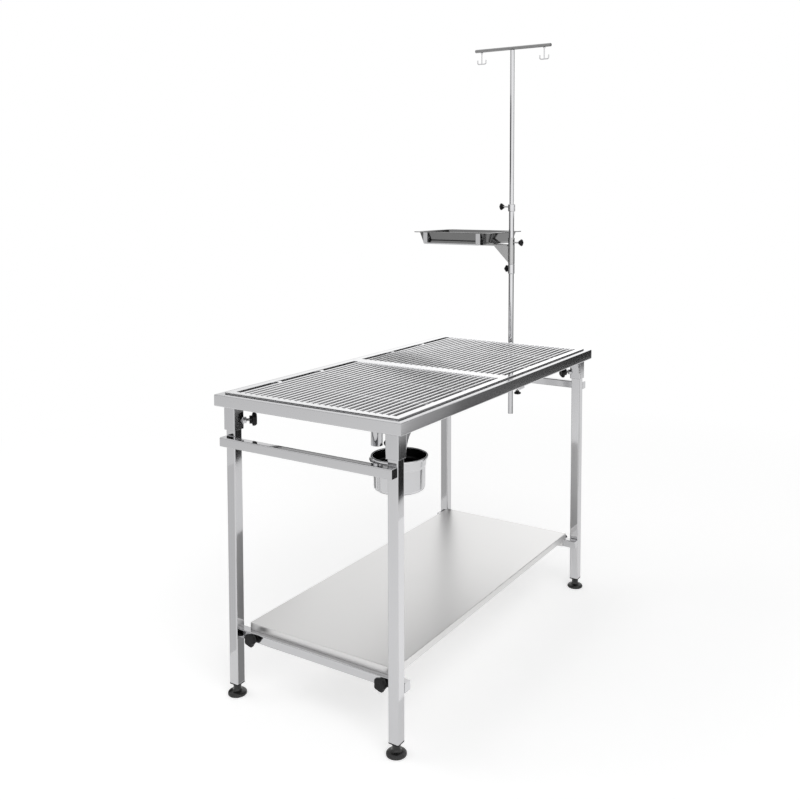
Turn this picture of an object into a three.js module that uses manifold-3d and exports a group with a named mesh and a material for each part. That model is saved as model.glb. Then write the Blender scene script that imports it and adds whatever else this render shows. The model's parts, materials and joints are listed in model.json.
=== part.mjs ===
// Knock-down veterinary exam table in stainless steel: a folded rim with two lift-out rod grates
// over a sloped drain pan, four corner sockets on two leg frames, a shelf, a drain pot on a wire
// fork, and a clamp-on pole that carries drip hooks and an instrument tray.
// Millimetres, +Z up, +X towards the pole end. The floor is z = 0.
import * as THREE from 'three';
import { mergeVertices } from 'three/addons/utils/BufferGeometryUtils.js';
import Module from 'manifold-3d';

const wasm = await Module();
wasm.setup();

// Fits
const GAP = 0.3; // between pieces that touch
const BITE = 0.5; // overlap of shapes that are joined into one piece

// Table top
const TOP_LENGTH = 1200;
const TOP_WIDTH = 600;
const RIM_TOP = 834;
const APRON = 32;
const RIM_SHEET = 2;
const RIM_FLAT = 20; // width of the flat border round the grates
const RIM_STEP = 6; // depth of the recess that takes the grates
const LEDGE = 24;
const RETURN_LIP = 12;

// Rod grates
const GRATE_BAR_WIDTH = 20;
const GRATE_BAR_HEIGHT = 8;
const ROD_DIAMETER = 8;
const ROD_COUNT = 26;
const ROD_DROP = 0.8; // rod tops below the frame bars
const ROD_SIDES = 6;
const CROSS_BAR_WIDTH = 14;
const CROSS_BAR_HEIGHT = 5;

// Drain pan and spout
const PAN_SHEET = 1.5;
const PAN_FACETS = 5; // on each side of the pan
const DRAIN_X = -476;
const DRAIN_Y = -145;
const PAN_WALL_Z = 816; // underside of the pan at the foot of its walls
const DRAIN_Z = 804; // underside of the pan at the drain
const DRAIN_RADIUS = 14.5;
const SPOUT_RADIUS = 15.5;
const SPOUT_WALL = 2;
const SPOUT_BOTTOM = 731;
const SPOUT_FLANGE_RADIUS = 25;
const BEARER_WIDTH = 40;
const BEARER_SHEET = 4;
const BEARER_SPACING = 390;

// Legs, sockets and rails
const LEG_X = 565;
const LEG_Y = 262;
const LEG_SIDE = 30;
const LEG_BOTTOM = 34;
const LEG_TOP = 790;
const TUBE_WALL = 1.5;
const TUBE_CORNER = 3;
const CORNER_STEPS = 1;
const SOCKET_SIDE = 38;
const SOCKET_INNER = 31;
const SOCKET_BOTTOM = 737;
const SOCKET_PLATE = 2;
const GUSSET_LENGTH = 36;
const GUSSET_DEPTH = 46;
const GUSSET_SHEET = 4;
const GUSSET_HOLLOW = 8; // how near the curved edge comes to the corner of sleeve and apron
const WELD_NUT_ENDS = [22.5, 33]; // from the leg axis
const RAIL_SIDE = 25;
const RAIL_LENGTH = 554;
const UPPER_RAIL_BOTTOM = 696;
const LOWER_RAIL_BOTTOM = 149.5;

// Shelf
const SHELF_LENGTH = 1072;
const SHELF_WIDTH = 478;
const SHELF_SHEET = 1.5;
const SHELF_FLANGE = 20;
const SHELF_SCREW_Y = 214;
const SHELF_TAB_WIDTH = 36;
const SHELF_TAB_SHEET = 3;

// Star knobs on M8 and M6 screws
const LARGE_KNOB = { radius: 19, depth: 20, neck: 11, neckLength: 8, screw: 4 };
const SMALL_KNOB = { radius: 13, depth: 13, neck: 7, neckLength: 6, screw: 3 };
const KNOB_LOBES = 5;
const KNOB_LOBE_POINTS = 4;
const KNOB_SCALLOP = 0.1;
const LEG_KNOB_Z = 760;
const LEG_KNOB_HEAD = 41; // leg axis to the inner end of the knob
const NUT_RADIUS = 9.5;
const SCREW_PLAY = 0.5;

// Levelling feet
const FOOT_RADIUS = 26;
const FOOT_SCREW_RADIUS = 5;
const FOOT_SCREW_TOP = 92;
const PLUG_FLANGE = 3;
const PLUG_TOP = 68;

// Drain pot on its wire fork
const POT_X = -446;
const POT_Y = -194;
const POT_RIM_RADIUS = 74;
const POT_TOP = 707;
const POT_HEIGHT = 88;
const POT_SHEET = 1.2;
const FORK_WIRE = 3;
const WIRE_SIDES = 6;
const FORK_ARM = 20;
const STRAP_WIDTH = 20;
const STRAP_SHEET = 3;

// Clamp-on pole
const POLE_X = 625;
const POLE_Y = 22.5;
const LOWER_TUBE_RADIUS = 9.5;
const UPPER_TUBE_RADIUS = 8;
const POLE_WALL = 1.2;
const LOWER_TUBE_BOTTOM = 565;
const LOWER_TUBE_TOP = 1314;
const UPPER_TUBE_BOTTOM = 1150;
const CROSSBAR_Z = 1894;
const CROSSBAR_LENGTH = 301;
const CROSSBAR_RADIUS = 6;
const HOOK_INSET = 26;
const HOOK_DROP = 48;
const HOOK_SPREAD = 17;
const HOOK_RISE = 13;
const HOOK_WIRE = 2;
const POLE_COLLAR_BOTTOM = 1308;
const POLE_COLLAR_HEIGHT = 26;
const POLE_COLLAR_RADIUS = 13;
const SLEEVE_RADIUS = 12;
const STOP_BOTTOM = 1081;
const STOP_HEIGHT = 35;
const STOP_KNOB_TURN = 66; // degrees from +X
const STOP_KNOB_START = 15; // pole axis to the inner end of the knob
const BRACKET_KNOB_START = 31;
const BRACKET_KNOB_DROP = 17; // below the top of the sleeve
const POLE_SIDES = 16;

// Pole clamp on the far upper rail
const CLAMP_WIDTH = 80;
const CLAMP_SHEET = 8;
const CLAMP_THROAT = 45;
const CLAMP_SCREW_Y = -21;
const CLAMP_KNOB_Z = 661;
const SOCKET_TUBE_RADIUS = 12.5;

// Instrument tray, its cradle and the swing bracket
const TRAY_X_SIZE = 265;
const TRAY_Y_SIZE = 325;
const TRAY_RIM_Z = 1233;
const TRAY_DEPTH = 42;
const TRAY_LIP = 11;
const TRAY_RIM_CORNER = 18;
const TRAY_SHEET = 1.2;
const TRAY_POLE_GAP = 18; // pole axis to the nearest edge of the tray
const CRADLE_BAR_WIDTH = 18;
const CRADLE_BAR_SHEET = 3;
const CRADLE_SPACING = 220;
const CRADLE_ROD = 3;
const ARM_WIDTH = 26;
const ARM_HEIGHT = 6;
const BRACKET_GUSSET = 60;
const BRACKET_SLEEVE_BOTTOM = STOP_BOTTOM + STOP_HEIGHT + GAP;
const BRACKET_SLEEVE_TOP = 1212;

// Finishes
const finish = (color, metalness, roughness) =>
  new THREE.MeshStandardMaterial({ color, metalness, roughness });
const SATIN_STEEL = finish(0xc9c9ca, 1, 0.35);
const POLISHED_STEEL = finish(0xd2d2d3, 1, 0.15);
const MILL_STEEL = finish(0xbdbdbb, 1, 0.45);
const BLACK_PLASTIC = finish(0x141415, 0, 0.45);
const BLACK_RUBBER = finish(0x101011, 0, 0.7);

const table = new THREE.Group();

// Solid tools

/** Gives a geometry only shared positions, with its faces pointing out. */
function closedBody(geometry) {
  const bare = geometry.clone();
  bare.deleteAttribute('normal');
  bare.deleteAttribute('uv');
  const merged = mergeVertices(bare, 1e-4);
  const index = Array.from(merged.index.array);
  const faces = [];
  for (let i = 0; i < index.length; i += 3) {
    const [a, b, c] = index.slice(i, i + 3);
    if (a !== b && b !== c && c !== a) faces.push([a, b, c]);
  }
  const corner = (i) => new THREE.Vector3().fromBufferAttribute(merged.attributes.position, i);
  const volume = faces.reduce((sum, [a, b, c]) => sum + corner(a).dot(corner(b).cross(corner(c))), 0);
  merged.setIndex(faces.flatMap(([a, b, c]) => (volume > 0 ? [a, b, c] : [a, c, b])));
  return merged;
}

function toSolid(geometry) {
  const body = closedBody(geometry);
  const mesh = new wasm.Mesh({
    numProp: 3,
    vertProperties: new Float32Array(body.attributes.position.array),
    triVerts: new Uint32Array(body.index.array),
  });
  return new wasm.Manifold(mesh);
}

function toGeometry(solid) {
  const mesh = solid.getMesh();
  const geometry = new THREE.BufferGeometry();
  geometry.setAttribute('position', new THREE.BufferAttribute(mesh.vertProperties, 3));
  geometry.setIndex(new THREE.BufferAttribute(mesh.triVerts, 1));
  return geometry;
}

/** Joins the first list of geometries and cuts the second list from it. */
function join(parts, cuts = []) {
  const whole = parts.map(toSolid).reduce((sum, solid) => sum.add(solid));
  return toGeometry(cuts.map(toSolid).reduce((sum, solid) => sum.subtract(solid), whole));
}

function addPiece(name, geometry, material, parent = table) {
  const mesh = new THREE.Mesh(closedBody(geometry), material);
  mesh.name = name;
  parent.add(mesh);
}

// Shape tools

function block([x0, x1], [y0, y1], [z0, z1]) {
  const geometry = new THREE.BoxGeometry(x1 - x0, y1 - y0, z1 - z0);
  return geometry.translate((x0 + x1) / 2, (y0 + y1) / 2, (z0 + z1) / 2);
}

/** A round bar along Z from z0 to z1. */
function bar(radius, z0, z1, sides = 12, x = 0, y = 0) {
  const geometry = new THREE.CylinderGeometry(radius, radius, z1 - z0, sides);
  return geometry.rotateX(Math.PI / 2).translate(x, y, (z0 + z1) / 2);
}

/** Revolves [radius, z] points about Z. */
function revolve(points, sides) {
  const profile = points.map(([r, z]) => new THREE.Vector2(r, z));
  return new THREE.LatheGeometry(profile, sides).rotateX(Math.PI / 2);
}

/** Extrudes an outline in XY along +Z. */
function prism(shape, height, curveSegments = 8) {
  return new THREE.ExtrudeGeometry(shape, { depth: height, bevelEnabled: false, curveSegments });
}

/** Turns an XY outline extruded along Z into an XZ outline centred on Y = 0. */
function uprightPlate(shape, thickness, curveSegments = 8) {
  return prism(shape, thickness, curveSegments).rotateX(Math.PI / 2).translate(0, thickness / 2, 0);
}

function outline(points) {
  return new THREE.Shape(points.map(([x, y]) => new THREE.Vector2(x, y)));
}

function roundedRectangle(Target, width, height, radius) {
  const shape = new Target();
  const [a, b] = [width / 2 - radius, height / 2 - radius];
  shape.absarc(a, b, radius, 0, Math.PI / 2);
  shape.absarc(-a, b, radius, Math.PI / 2, Math.PI);
  shape.absarc(-a, -b, radius, Math.PI, Math.PI * 1.5);
  shape.absarc(a, -b, radius, Math.PI * 1.5, Math.PI * 2);
  shape.closePath();
  return shape;
}

/** A square tube along Z with rounded corners. */
function squareTube(side, wall, z0, z1) {
  const shape = roundedRectangle(THREE.Shape, side, side, TUBE_CORNER);
  const inner = side - 2 * wall;
  shape.holes.push(roundedRectangle(THREE.Path, inner, inner, Math.max(TUBE_CORNER - wall, 0.5)));
  return prism(shape, z1 - z0, CORNER_STEPS).translate(0, 0, z0);
}

function roundTube(outer, inner, z0, z1, x = 0, y = 0) {
  const profile = [[inner, z0], [outer, z0], [outer, z1], [inner, z1], [inner, z0]];
  return revolve(profile, POLE_SIDES).translate(x, y, 0);
}

/** Skins equal rings of points; the rings close on themselves, or the end rings are capped. */
function loft(rings, looped) {
  const count = rings[0].length;
  const positions = rings.flat(2);
  const index = [];
  const spans = looped ? rings.length : rings.length - 1;
  for (let ring = 0; ring < spans; ring += 1) {
    const [low, high] = [ring * count, ((ring + 1) % rings.length) * count];
    for (let i = 0; i < count; i += 1) {
      const next = (i + 1) % count;
      index.push(low + i, low + next, high + next, low + i, high + next, high + i);
    }
  }
  if (!looped) {
    const last = (rings.length - 1) * count;
    for (let i = 1; i < count - 1; i += 1) {
      index.push(0, i + 1, i, last, last + i, last + i + 1);
    }
  }
  const geometry = new THREE.BufferGeometry();
  geometry.setAttribute('position', new THREE.Float32BufferAttribute(positions, 3));
  geometry.setIndex(index);
  return geometry;
}

/** A round wire along a smooth path. */
function wire(points, radius, steps) {
  const path = new THREE.CatmullRomCurve3(points.map((p) => new THREE.Vector3(...p)));
  const section = new THREE.Shape().absarc(0, 0, radius, 0, Math.PI * 2);
  const settings = { steps, extrudePath: path, curveSegments: WIRE_SIDES / 2, bevelEnabled: false };
  return new THREE.ExtrudeGeometry(section, settings);
}

/** A scalloped knob on its screw, along +Z: the head starts at z = 0, the tip lies at -reach. */
function starKnob({ radius, depth, neck, neckLength, screw }, reach) {
  const points = [];
  const count = KNOB_LOBES * KNOB_LOBE_POINTS;
  for (let i = 0; i < count; i += 1) {
    const angle = (i / count) * Math.PI * 2;
    const r = radius * (1 - KNOB_SCALLOP * (0.5 - 0.5 * Math.cos(KNOB_LOBES * angle)));
    points.push([r * Math.cos(angle), r * Math.sin(angle)]);
  }
  const ring = (scale, z) => points.map(([x, y]) => [x * scale, y * scale, z]);
  const circle = (r, z) => points.map(([x, y]) => {
    const length = Math.hypot(x, y);
    return [(x / length) * r, (y / length) * r, z];
  });
  const head = loft([
    circle(neck, 0),
    circle(neck, neckLength - 2),
    ring(0.93, neckLength),
    ring(1, neckLength + 2),
    ring(1, depth - 4),
    ring(0.75, depth),
  ], false);
  return join([head, bar(screw, -reach, BITE, 8)]);
}

/** Points a shape built along +Z along a level direction, `turn` radians from +X. */
function lieAlong(geometry, turn) {
  return geometry.rotateY(Math.PI / 2).rotateZ(turn);
}

// Table top

/** Folded rim member along +X: lip, apron, flat border, step and ledge, seen from its end. */
function rimBlank(length) {
  const z = { lip: RIM_TOP - APRON, top: RIM_TOP, ledge: RIM_TOP - RIM_STEP };
  const section = outline([
    [0, z.lip],
    [RETURN_LIP, z.lip],
    [RETURN_LIP, z.lip + RIM_SHEET],
    [RIM_SHEET, z.lip + RIM_SHEET],
    [RIM_SHEET, z.top - RIM_SHEET],
    [RIM_FLAT - RIM_SHEET, z.top - RIM_SHEET],
    [RIM_FLAT - RIM_SHEET, z.ledge - RIM_SHEET],
    [RIM_FLAT + LEDGE, z.ledge - RIM_SHEET],
    [RIM_FLAT + LEDGE, z.ledge],
    [RIM_FLAT, z.ledge],
    [RIM_FLAT, z.top],
    [0, z.top],
  ]);
  // The section lies in YZ with its apron on the -Y side; the member runs along X.
  return prism(section, length).rotateX(Math.PI / 2).rotateZ(Math.PI / 2).translate(-length / 2, 0, 0);
}

function addRim() {
  const reach = RIM_FLAT + LEDGE + 1;
  const sides = [
    { name: 'rim_right', length: TOP_LENGTH, half: TOP_WIDTH / 2, turn: 0 },
    { name: 'rim_far', length: TOP_WIDTH, half: TOP_LENGTH / 2, turn: Math.PI / 2 },
    { name: 'rim_left', length: TOP_LENGTH, half: TOP_WIDTH / 2, turn: Math.PI },
    { name: 'rim_near', length: TOP_WIDTH, half: TOP_LENGTH / 2, turn: -Math.PI / 2 },
  ];
  for (const { name, length, half, turn } of sides) {
    const mitre = outline([
      [-length / 2 + GAP / 2, -1],
      [length / 2 - GAP / 2, -1],
      [length / 2 - GAP / 2 - reach - 1, reach],
      [-length / 2 + GAP / 2 + reach + 1, reach],
    ]);
    const slice = prism(mitre, RIM_TOP + 1);
    const member = toGeometry(toSolid(rimBlank(length)).intersect(toSolid(slice)));
    addPiece(name, member.translate(0, -half, 0).rotateZ(turn), SATIN_STEEL);
  }
}

const PAN_FLANGE_Z = RIM_TOP - RIM_STEP + GAP;
const GRATE_BOTTOM = PAN_FLANGE_Z + PAN_SHEET + GAP;
const RECESS_X = TOP_LENGTH / 2 - RIM_FLAT;
const RECESS_Y = TOP_WIDTH / 2 - RIM_FLAT;

function addGrates() {
  const play = 0.6;
  const barTop = GRATE_BOTTOM + GRATE_BAR_HEIGHT;
  const rodZ = barTop - ROD_DROP - ROD_DIAMETER / 2;
  const y1 = RECESS_Y - play;
  const inner = y1 - GRATE_BAR_WIDTH;
  const pitch = (2 * inner) / (ROD_COUNT + 1);
  for (const [name, x0, x1] of [
    ['grate_near', -RECESS_X + play, -play / 2],
    ['grate_far', play / 2, RECESS_X - play],
  ]) {
    const frame = join(
      [block([x0, x1], [-y1, y1], [GRATE_BOTTOM, barTop])],
      [block([x0 + GRATE_BAR_WIDTH, x1 - GRATE_BAR_WIDTH], [-inner, inner], [0, RIM_TOP + 50])],
    );
    const parts = [frame];
    const ends = [x0 + GRATE_BAR_WIDTH - BITE * 4, x1 - GRATE_BAR_WIDTH + BITE * 4];
    for (let i = 1; i <= ROD_COUNT; i += 1) {
      const rod = bar(ROD_DIAMETER / 2, ends[0], ends[1], ROD_SIDES).rotateY(Math.PI / 2);
      parts.push(rod.translate(0, -inner + i * pitch, rodZ));
    }
    for (const third of [1 / 3, 2 / 3]) {
      const x = x0 + (x1 - x0) * third;
      const width = [x - CROSS_BAR_WIDTH / 2, x + CROSS_BAR_WIDTH / 2];
      const rest = rodZ - ROD_DIAMETER / 2 - GAP;
      const bottom = rest - CROSS_BAR_HEIGHT;
      const turnUp = RECESS_Y - LEDGE - PAN_SHEET - 2;
      parts.push(block(width, [-turnUp, turnUp], [bottom, rest]));
      for (const side of [-1, 1]) {
        const span = (y0, y1) => [side * y0, side * y1].sort((a, b) => a - b);
        const up = turnUp - CROSS_BAR_HEIGHT;
        parts.push(block(width, span(up, turnUp), [bottom + BITE, barTop - 2]));
        parts.push(block(width, span(up, inner + BITE), [GRATE_BOTTOM + GAP, barTop - 2]));
      }
    }
    addPiece(name, join(parts), POLISHED_STEEL);
  }
}

/** Height of the pan's underside above the lowest line of a bearer whose near edge is at x. */
function panUnderside(x) {
  const run = RECESS_X - LEDGE - DRAIN_X - DRAIN_RADIUS;
  const rise = PAN_WALL_Z - DRAIN_Z;
  return DRAIN_Z + (rise * (Math.abs(x - DRAIN_X) - DRAIN_RADIUS)) / run;
}

function addDrain() {
  // Points are spread evenly as seen from the drain, so the pan falls to a round mouth.
  const rectangle = (halfX, halfY, z) => {
    const corners = [[-halfX, -halfY], [halfX, -halfY], [halfX, halfY], [-halfX, halfY]];
    return corners.flatMap(([x, y], i) => {
      const [nextX, nextY] = corners[(i + 1) % 4];
      const length = Math.hypot(nextX - x, nextY - y);
      const [ux, uy] = [(nextX - x) / length, (nextY - y) / length];
      const start = (x - DRAIN_X) * ux + (y - DRAIN_Y) * uy;
      const distance = Math.abs((x - DRAIN_X) * uy - (y - DRAIN_Y) * ux);
      const [from, to] = [start, start + length].map((along) => Math.atan2(along, distance));
      return Array.from({ length: PAN_FACETS }, (unused, k) => {
        const step = distance * Math.tan(from + ((to - from) * k) / PAN_FACETS) - start;
        return [x + ux * step, y + uy * step, z];
      });
    });
  };
  const lip = [RECESS_X - GAP * 2, RECESS_Y - GAP * 2];
  const outside = [RECESS_X - LEDGE - GAP * 2, RECESS_Y - LEDGE - GAP * 2];
  const inside = outside.map((half) => half - PAN_SHEET);
  const mouth = (z) => rectangle(...inside, z).map(([x, y]) => {
    const turn = Math.atan2(y - DRAIN_Y, x - DRAIN_X);
    return [DRAIN_X + DRAIN_RADIUS * Math.cos(turn), DRAIN_Y + DRAIN_RADIUS * Math.sin(turn), z];
  });
  const top = PAN_FLANGE_Z + PAN_SHEET;
  const pan = loft([
    rectangle(...lip, top),
    rectangle(...inside, top),
    rectangle(...inside, PAN_WALL_Z + PAN_SHEET),
    mouth(DRAIN_Z + PAN_SHEET),
    mouth(DRAIN_Z),
    rectangle(...outside, PAN_WALL_Z),
    rectangle(...outside, PAN_FLANGE_Z),
    rectangle(...lip, PAN_FLANGE_Z),
  ], true);
  addPiece('drain_pan', pan, MILL_STEEL);

  const head = DRAIN_Z - GAP;
  const spout = revolve([
    [SPOUT_RADIUS - SPOUT_WALL, SPOUT_BOTTOM],
    [SPOUT_RADIUS, SPOUT_BOTTOM],
    [SPOUT_RADIUS, head - 2],
    [SPOUT_FLANGE_RADIUS, head - 2],
    [SPOUT_FLANGE_RADIUS, head],
    [SPOUT_RADIUS - SPOUT_WALL, head],
    [SPOUT_RADIUS - SPOUT_WALL, SPOUT_BOTTOM],
  ], POLE_SIDES);
  addPiece('drain_spout', spout.translate(DRAIN_X, DRAIN_Y, 0), POLISHED_STEEL);
}

const BEARER_END_TOP = RIM_TOP - RIM_STEP - RIM_SHEET - GAP;
const BEARER_CLEARANCE = 1;
const bearerTop = (x) => panUnderside(x - BEARER_WIDTH / 2) - BEARER_CLEARANCE;

/** Joggled straps under the pan: the ends meet the rim's ledge, the middle follows the pan. */
function addBearers() {
  for (const [name, x] of [
    ['pan_bearer_near', -BEARER_SPACING],
    ['pan_bearer_middle', 0],
    ['pan_bearer_far', BEARER_SPACING],
  ]) {
    const end = RECESS_Y - RIM_SHEET;
    const foot = RECESS_Y - LEDGE + 8;
    const low = bearerTop(x);
    const joggle = foot - 7;
    const upper = [[-end, BEARER_END_TOP], [-foot, BEARER_END_TOP], [-joggle, low]];
    const mirrored = upper.map(([y, z]) => [-y, z]).reverse();
    const topLine = [...upper, ...mirrored];
    const underLine = topLine.map(([y, z]) => [y, z - BEARER_SHEET]).reverse();
    const strap = prism(outline([...topLine, ...underLine]), BEARER_WIDTH);
    strap.rotateX(Math.PI / 2).rotateZ(Math.PI / 2).translate(x - BEARER_WIDTH / 2, 0, 0);
    addPiece(name, strap, MILL_STEEL);
  }
}

// Legs and rails

const CORNERS = [
  { tag: 'near_left', sx: -1, sy: 1 },
  { tag: 'near_right', sx: -1, sy: -1 },
  { tag: 'far_left', sx: 1, sy: 1 },
  { tag: 'far_right', sx: 1, sy: -1 },
];

function addSocket({ tag, sx, sy }) {
  const lipTop = RIM_TOP - APRON + RIM_SHEET + GAP;
  const plateTop = lipTop + SOCKET_PLATE;
  const inward = SOCKET_SIDE / 2 + 2;
  const plateX = [-inward, TOP_LENGTH / 2 - RIM_SHEET - GAP - LEG_X];
  const plateY = [-inward, TOP_WIDTH / 2 - RIM_SHEET - GAP - LEG_Y];
  const sleeve = squareTube(SOCKET_SIDE, (SOCKET_SIDE - SOCKET_INNER) / 2, SOCKET_BOTTOM, lipTop + BITE);
  const plate = block(plateX, plateY, [lipTop, plateTop]);

  const ledgeBelow = RIM_TOP - RIM_STEP - RIM_SHEET - GAP;
  const face = -SOCKET_SIDE / 2 + BITE;
  const web = new THREE.Shape();
  web.moveTo(face, ledgeBelow);
  web.lineTo(face - GUSSET_LENGTH, ledgeBelow);
  web.lineTo(face - GUSSET_LENGTH, RIM_TOP - APRON - 2);
  const hollow = [face - GUSSET_HOLLOW, RIM_TOP - APRON - GUSSET_HOLLOW];
  web.quadraticCurveTo(...hollow, face, RIM_TOP - APRON - GUSSET_DEPTH);
  const flush = (SOCKET_SIDE - GUSSET_SHEET) / 2;
  const gusset = uprightPlate(web, GUSSET_SHEET, 6).translate(0, flush, 0);

  const diagonal = (-3 * Math.PI) / 4;
  const nut = lieAlong(bar(NUT_RADIUS, ...WELD_NUT_ENDS, 6), diagonal).translate(0, 0, LEG_KNOB_Z);
  const bore = LARGE_KNOB.screw + SCREW_PLAY;
  const hole = lieAlong(bar(bore, 15, 40), diagonal).translate(0, 0, LEG_KNOB_Z);
  const socket = join([sleeve, plate, gusset, nut], [hole]);
  addPiece(`leg_socket_${tag}`, mirrorTo(socket, sx, sy), SATIN_STEEL);
}

/** Mirrors a shape built for the +X +Y leg, with its axis at the origin, to a named corner. */
function mirrorTo(geometry, sx, sy) {
  return geometry.scale(sx, sy, 1).translate(sx * LEG_X, sy * LEG_Y, 0);
}

function addLegs() {
  const plugSide = LEG_SIDE - 2 * TUBE_WALL - 2 * GAP;
  const plugBottom = LEG_BOTTOM - GAP - PLUG_FLANGE;
  for (const corner of CORNERS) {
    const { tag, sx, sy } = corner;
    const place = (geometry) => geometry.translate(sx * LEG_X, sy * LEG_Y, 0);
    addSocket(corner);
    addPiece(`leg_${tag}`, place(squareTube(LEG_SIDE, TUBE_WALL, LEG_BOTTOM, LEG_TOP)), POLISHED_STEEL);

    const square = (side) => roundedRectangle(THREE.Shape, side, side, TUBE_CORNER);
    const flange = prism(square(LEG_SIDE), PLUG_FLANGE, CORNER_STEPS);
    const insert = prism(square(plugSide), PLUG_TOP - plugBottom, CORNER_STEPS);
    const bore = bar(FOOT_SCREW_RADIUS + SCREW_PLAY, 0, FOOT_SCREW_TOP);
    const plug = join([flange, insert], [bore.translate(0, 0, -1)]).translate(0, 0, plugBottom);
    addPiece(`leg_plug_${tag}`, place(plug), BLACK_PLASTIC);
    addPiece(`foot_${tag}`, place(footGeometry(plugBottom - GAP)), BLACK_RUBBER);

    const reach = LEG_KNOB_HEAD - (LEG_SIDE / 2) * Math.SQRT2 + TUBE_CORNER * (Math.SQRT2 - 1) - GAP;
    const turn = Math.atan2(-sy, -sx);
    const knob = lieAlong(starKnob(LARGE_KNOB, reach).translate(0, 0, LEG_KNOB_HEAD), turn);
    addPiece(`leg_knob_${tag}`, place(knob.translate(0, 0, LEG_KNOB_Z)), BLACK_PLASTIC);
  }
}

/** Levelling foot: a domed disc, a waisted collar and the screw, standing on z = 0. */
function footGeometry(collarTop) {
  return revolve([
    [0, 0],
    [FOOT_RADIUS - 2, 0],
    [FOOT_RADIUS, 2],
    [FOOT_RADIUS, 6],
    [FOOT_RADIUS - 5, 9.5],
    [FOOT_RADIUS - 13, 12],
    [FOOT_RADIUS - 15.5, 16],
    [FOOT_RADIUS - 15, collarTop],
    [FOOT_SCREW_RADIUS, collarTop],
    [FOOT_SCREW_RADIUS, FOOT_SCREW_TOP],
    [0, FOOT_SCREW_TOP],
  ], 16);
}

/** Square tube along Y, centred on Y = 0, resting on z = bottom with its low-X face at x. */
function crossRail(x, bottom) {
  const tube = squareTube(RAIL_SIDE, TUBE_WALL, -RAIL_LENGTH / 2, RAIL_LENGTH / 2);
  return tube.rotateX(Math.PI / 2).translate(x + RAIL_SIDE / 2, 0, bottom + RAIL_SIDE / 2);
}

const RAIL_OUTSIDE = LEG_X + LEG_SIDE / 2 + GAP;
const LOWER_RAIL_FRONT = LEG_X - LEG_SIDE / 2 - GAP;
const SHELF_SCREW_Z = LOWER_RAIL_BOTTOM + RAIL_SIDE / 2;

function addRails() {
  addPiece('upper_rail_near', crossRail(-RAIL_OUTSIDE - RAIL_SIDE, UPPER_RAIL_BOTTOM), POLISHED_STEEL);
  addPiece('upper_rail_far', crossRail(RAIL_OUTSIDE, UPPER_RAIL_BOTTOM), POLISHED_STEEL);
  const holes = (x) => [-1, 1].map((side) => {
    const drill = lieAlong(bar(LARGE_KNOB.screw + SCREW_PLAY, -RAIL_SIDE, RAIL_SIDE), 0);
    return drill.translate(x + RAIL_SIDE / 2, side * SHELF_SCREW_Y, SHELF_SCREW_Z);
  });
  for (const [name, x] of [
    ['lower_rail_near', -LOWER_RAIL_FRONT],
    ['lower_rail_far', LOWER_RAIL_FRONT - RAIL_SIDE],
  ]) {
    addPiece(name, join([crossRail(x, LOWER_RAIL_BOTTOM)], holes(x)), POLISHED_STEEL);
  }
}

function addShelf() {
  const bottom = LOWER_RAIL_BOTTOM + RAIL_SIDE + GAP;
  const top = bottom + SHELF_FLANGE;
  const [halfX, halfY] = [SHELF_LENGTH / 2, SHELF_WIDTH / 2];
  const tray = block([-halfX, halfX], [-halfY, halfY], [bottom, top]);
  const inX = halfX - SHELF_SHEET;
  const inY = halfY - SHELF_SHEET;
  const hollow = block([-inX, inX], [-inY, inY], [bottom - 1, top - SHELF_SHEET]);
  const tabFace = LOWER_RAIL_FRONT - RAIL_SIDE - GAP;
  const parts = [join([tray], [hollow])];
  const holes = [];
  for (const sx of [-1, 1]) {
    for (const sy of [-1, 1]) {
      const y = sy * SHELF_SCREW_Y;
      const span = [sx * tabFace, sx * (tabFace - SHELF_TAB_SHEET)].sort((a, b) => a - b);
      const width = [y - SHELF_TAB_WIDTH / 2, y + SHELF_TAB_WIDTH / 2];
      parts.push(block(span, width, [LOWER_RAIL_BOTTOM, top - SHELF_SHEET / 2]));
      const turn = sx > 0 ? Math.PI : 0;
      const nutEnds = [-(tabFace - SHELF_TAB_SHEET) - BITE, -(tabFace - SHELF_TAB_SHEET) + 8];
      parts.push(lieAlong(bar(NUT_RADIUS, ...nutEnds, 6), turn).translate(0, y, SHELF_SCREW_Z));
      const bore = bar(LARGE_KNOB.screw + SCREW_PLAY, -tabFace - 5, -tabFace + 20);
      holes.push(lieAlong(bore, turn).translate(0, y, SHELF_SCREW_Z));
    }
  }
  addPiece('shelf', join(parts, holes), MILL_STEEL);

  const headStart = LOWER_RAIL_FRONT + 2;
  const reach = RAIL_SIDE + 2 + SHELF_TAB_SHEET + 12;
  for (const { tag, sx, sy } of CORNERS) {
    const knob = starKnob(LARGE_KNOB, reach).translate(0, 0, headStart);
    lieAlong(knob, sx > 0 ? 0 : Math.PI).translate(0, sy * SHELF_SCREW_Y, SHELF_SCREW_Z);
    addPiece(`shelf_knob_${tag}`, knob, BLACK_PLASTIC);
  }
}

// Drain pot

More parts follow.
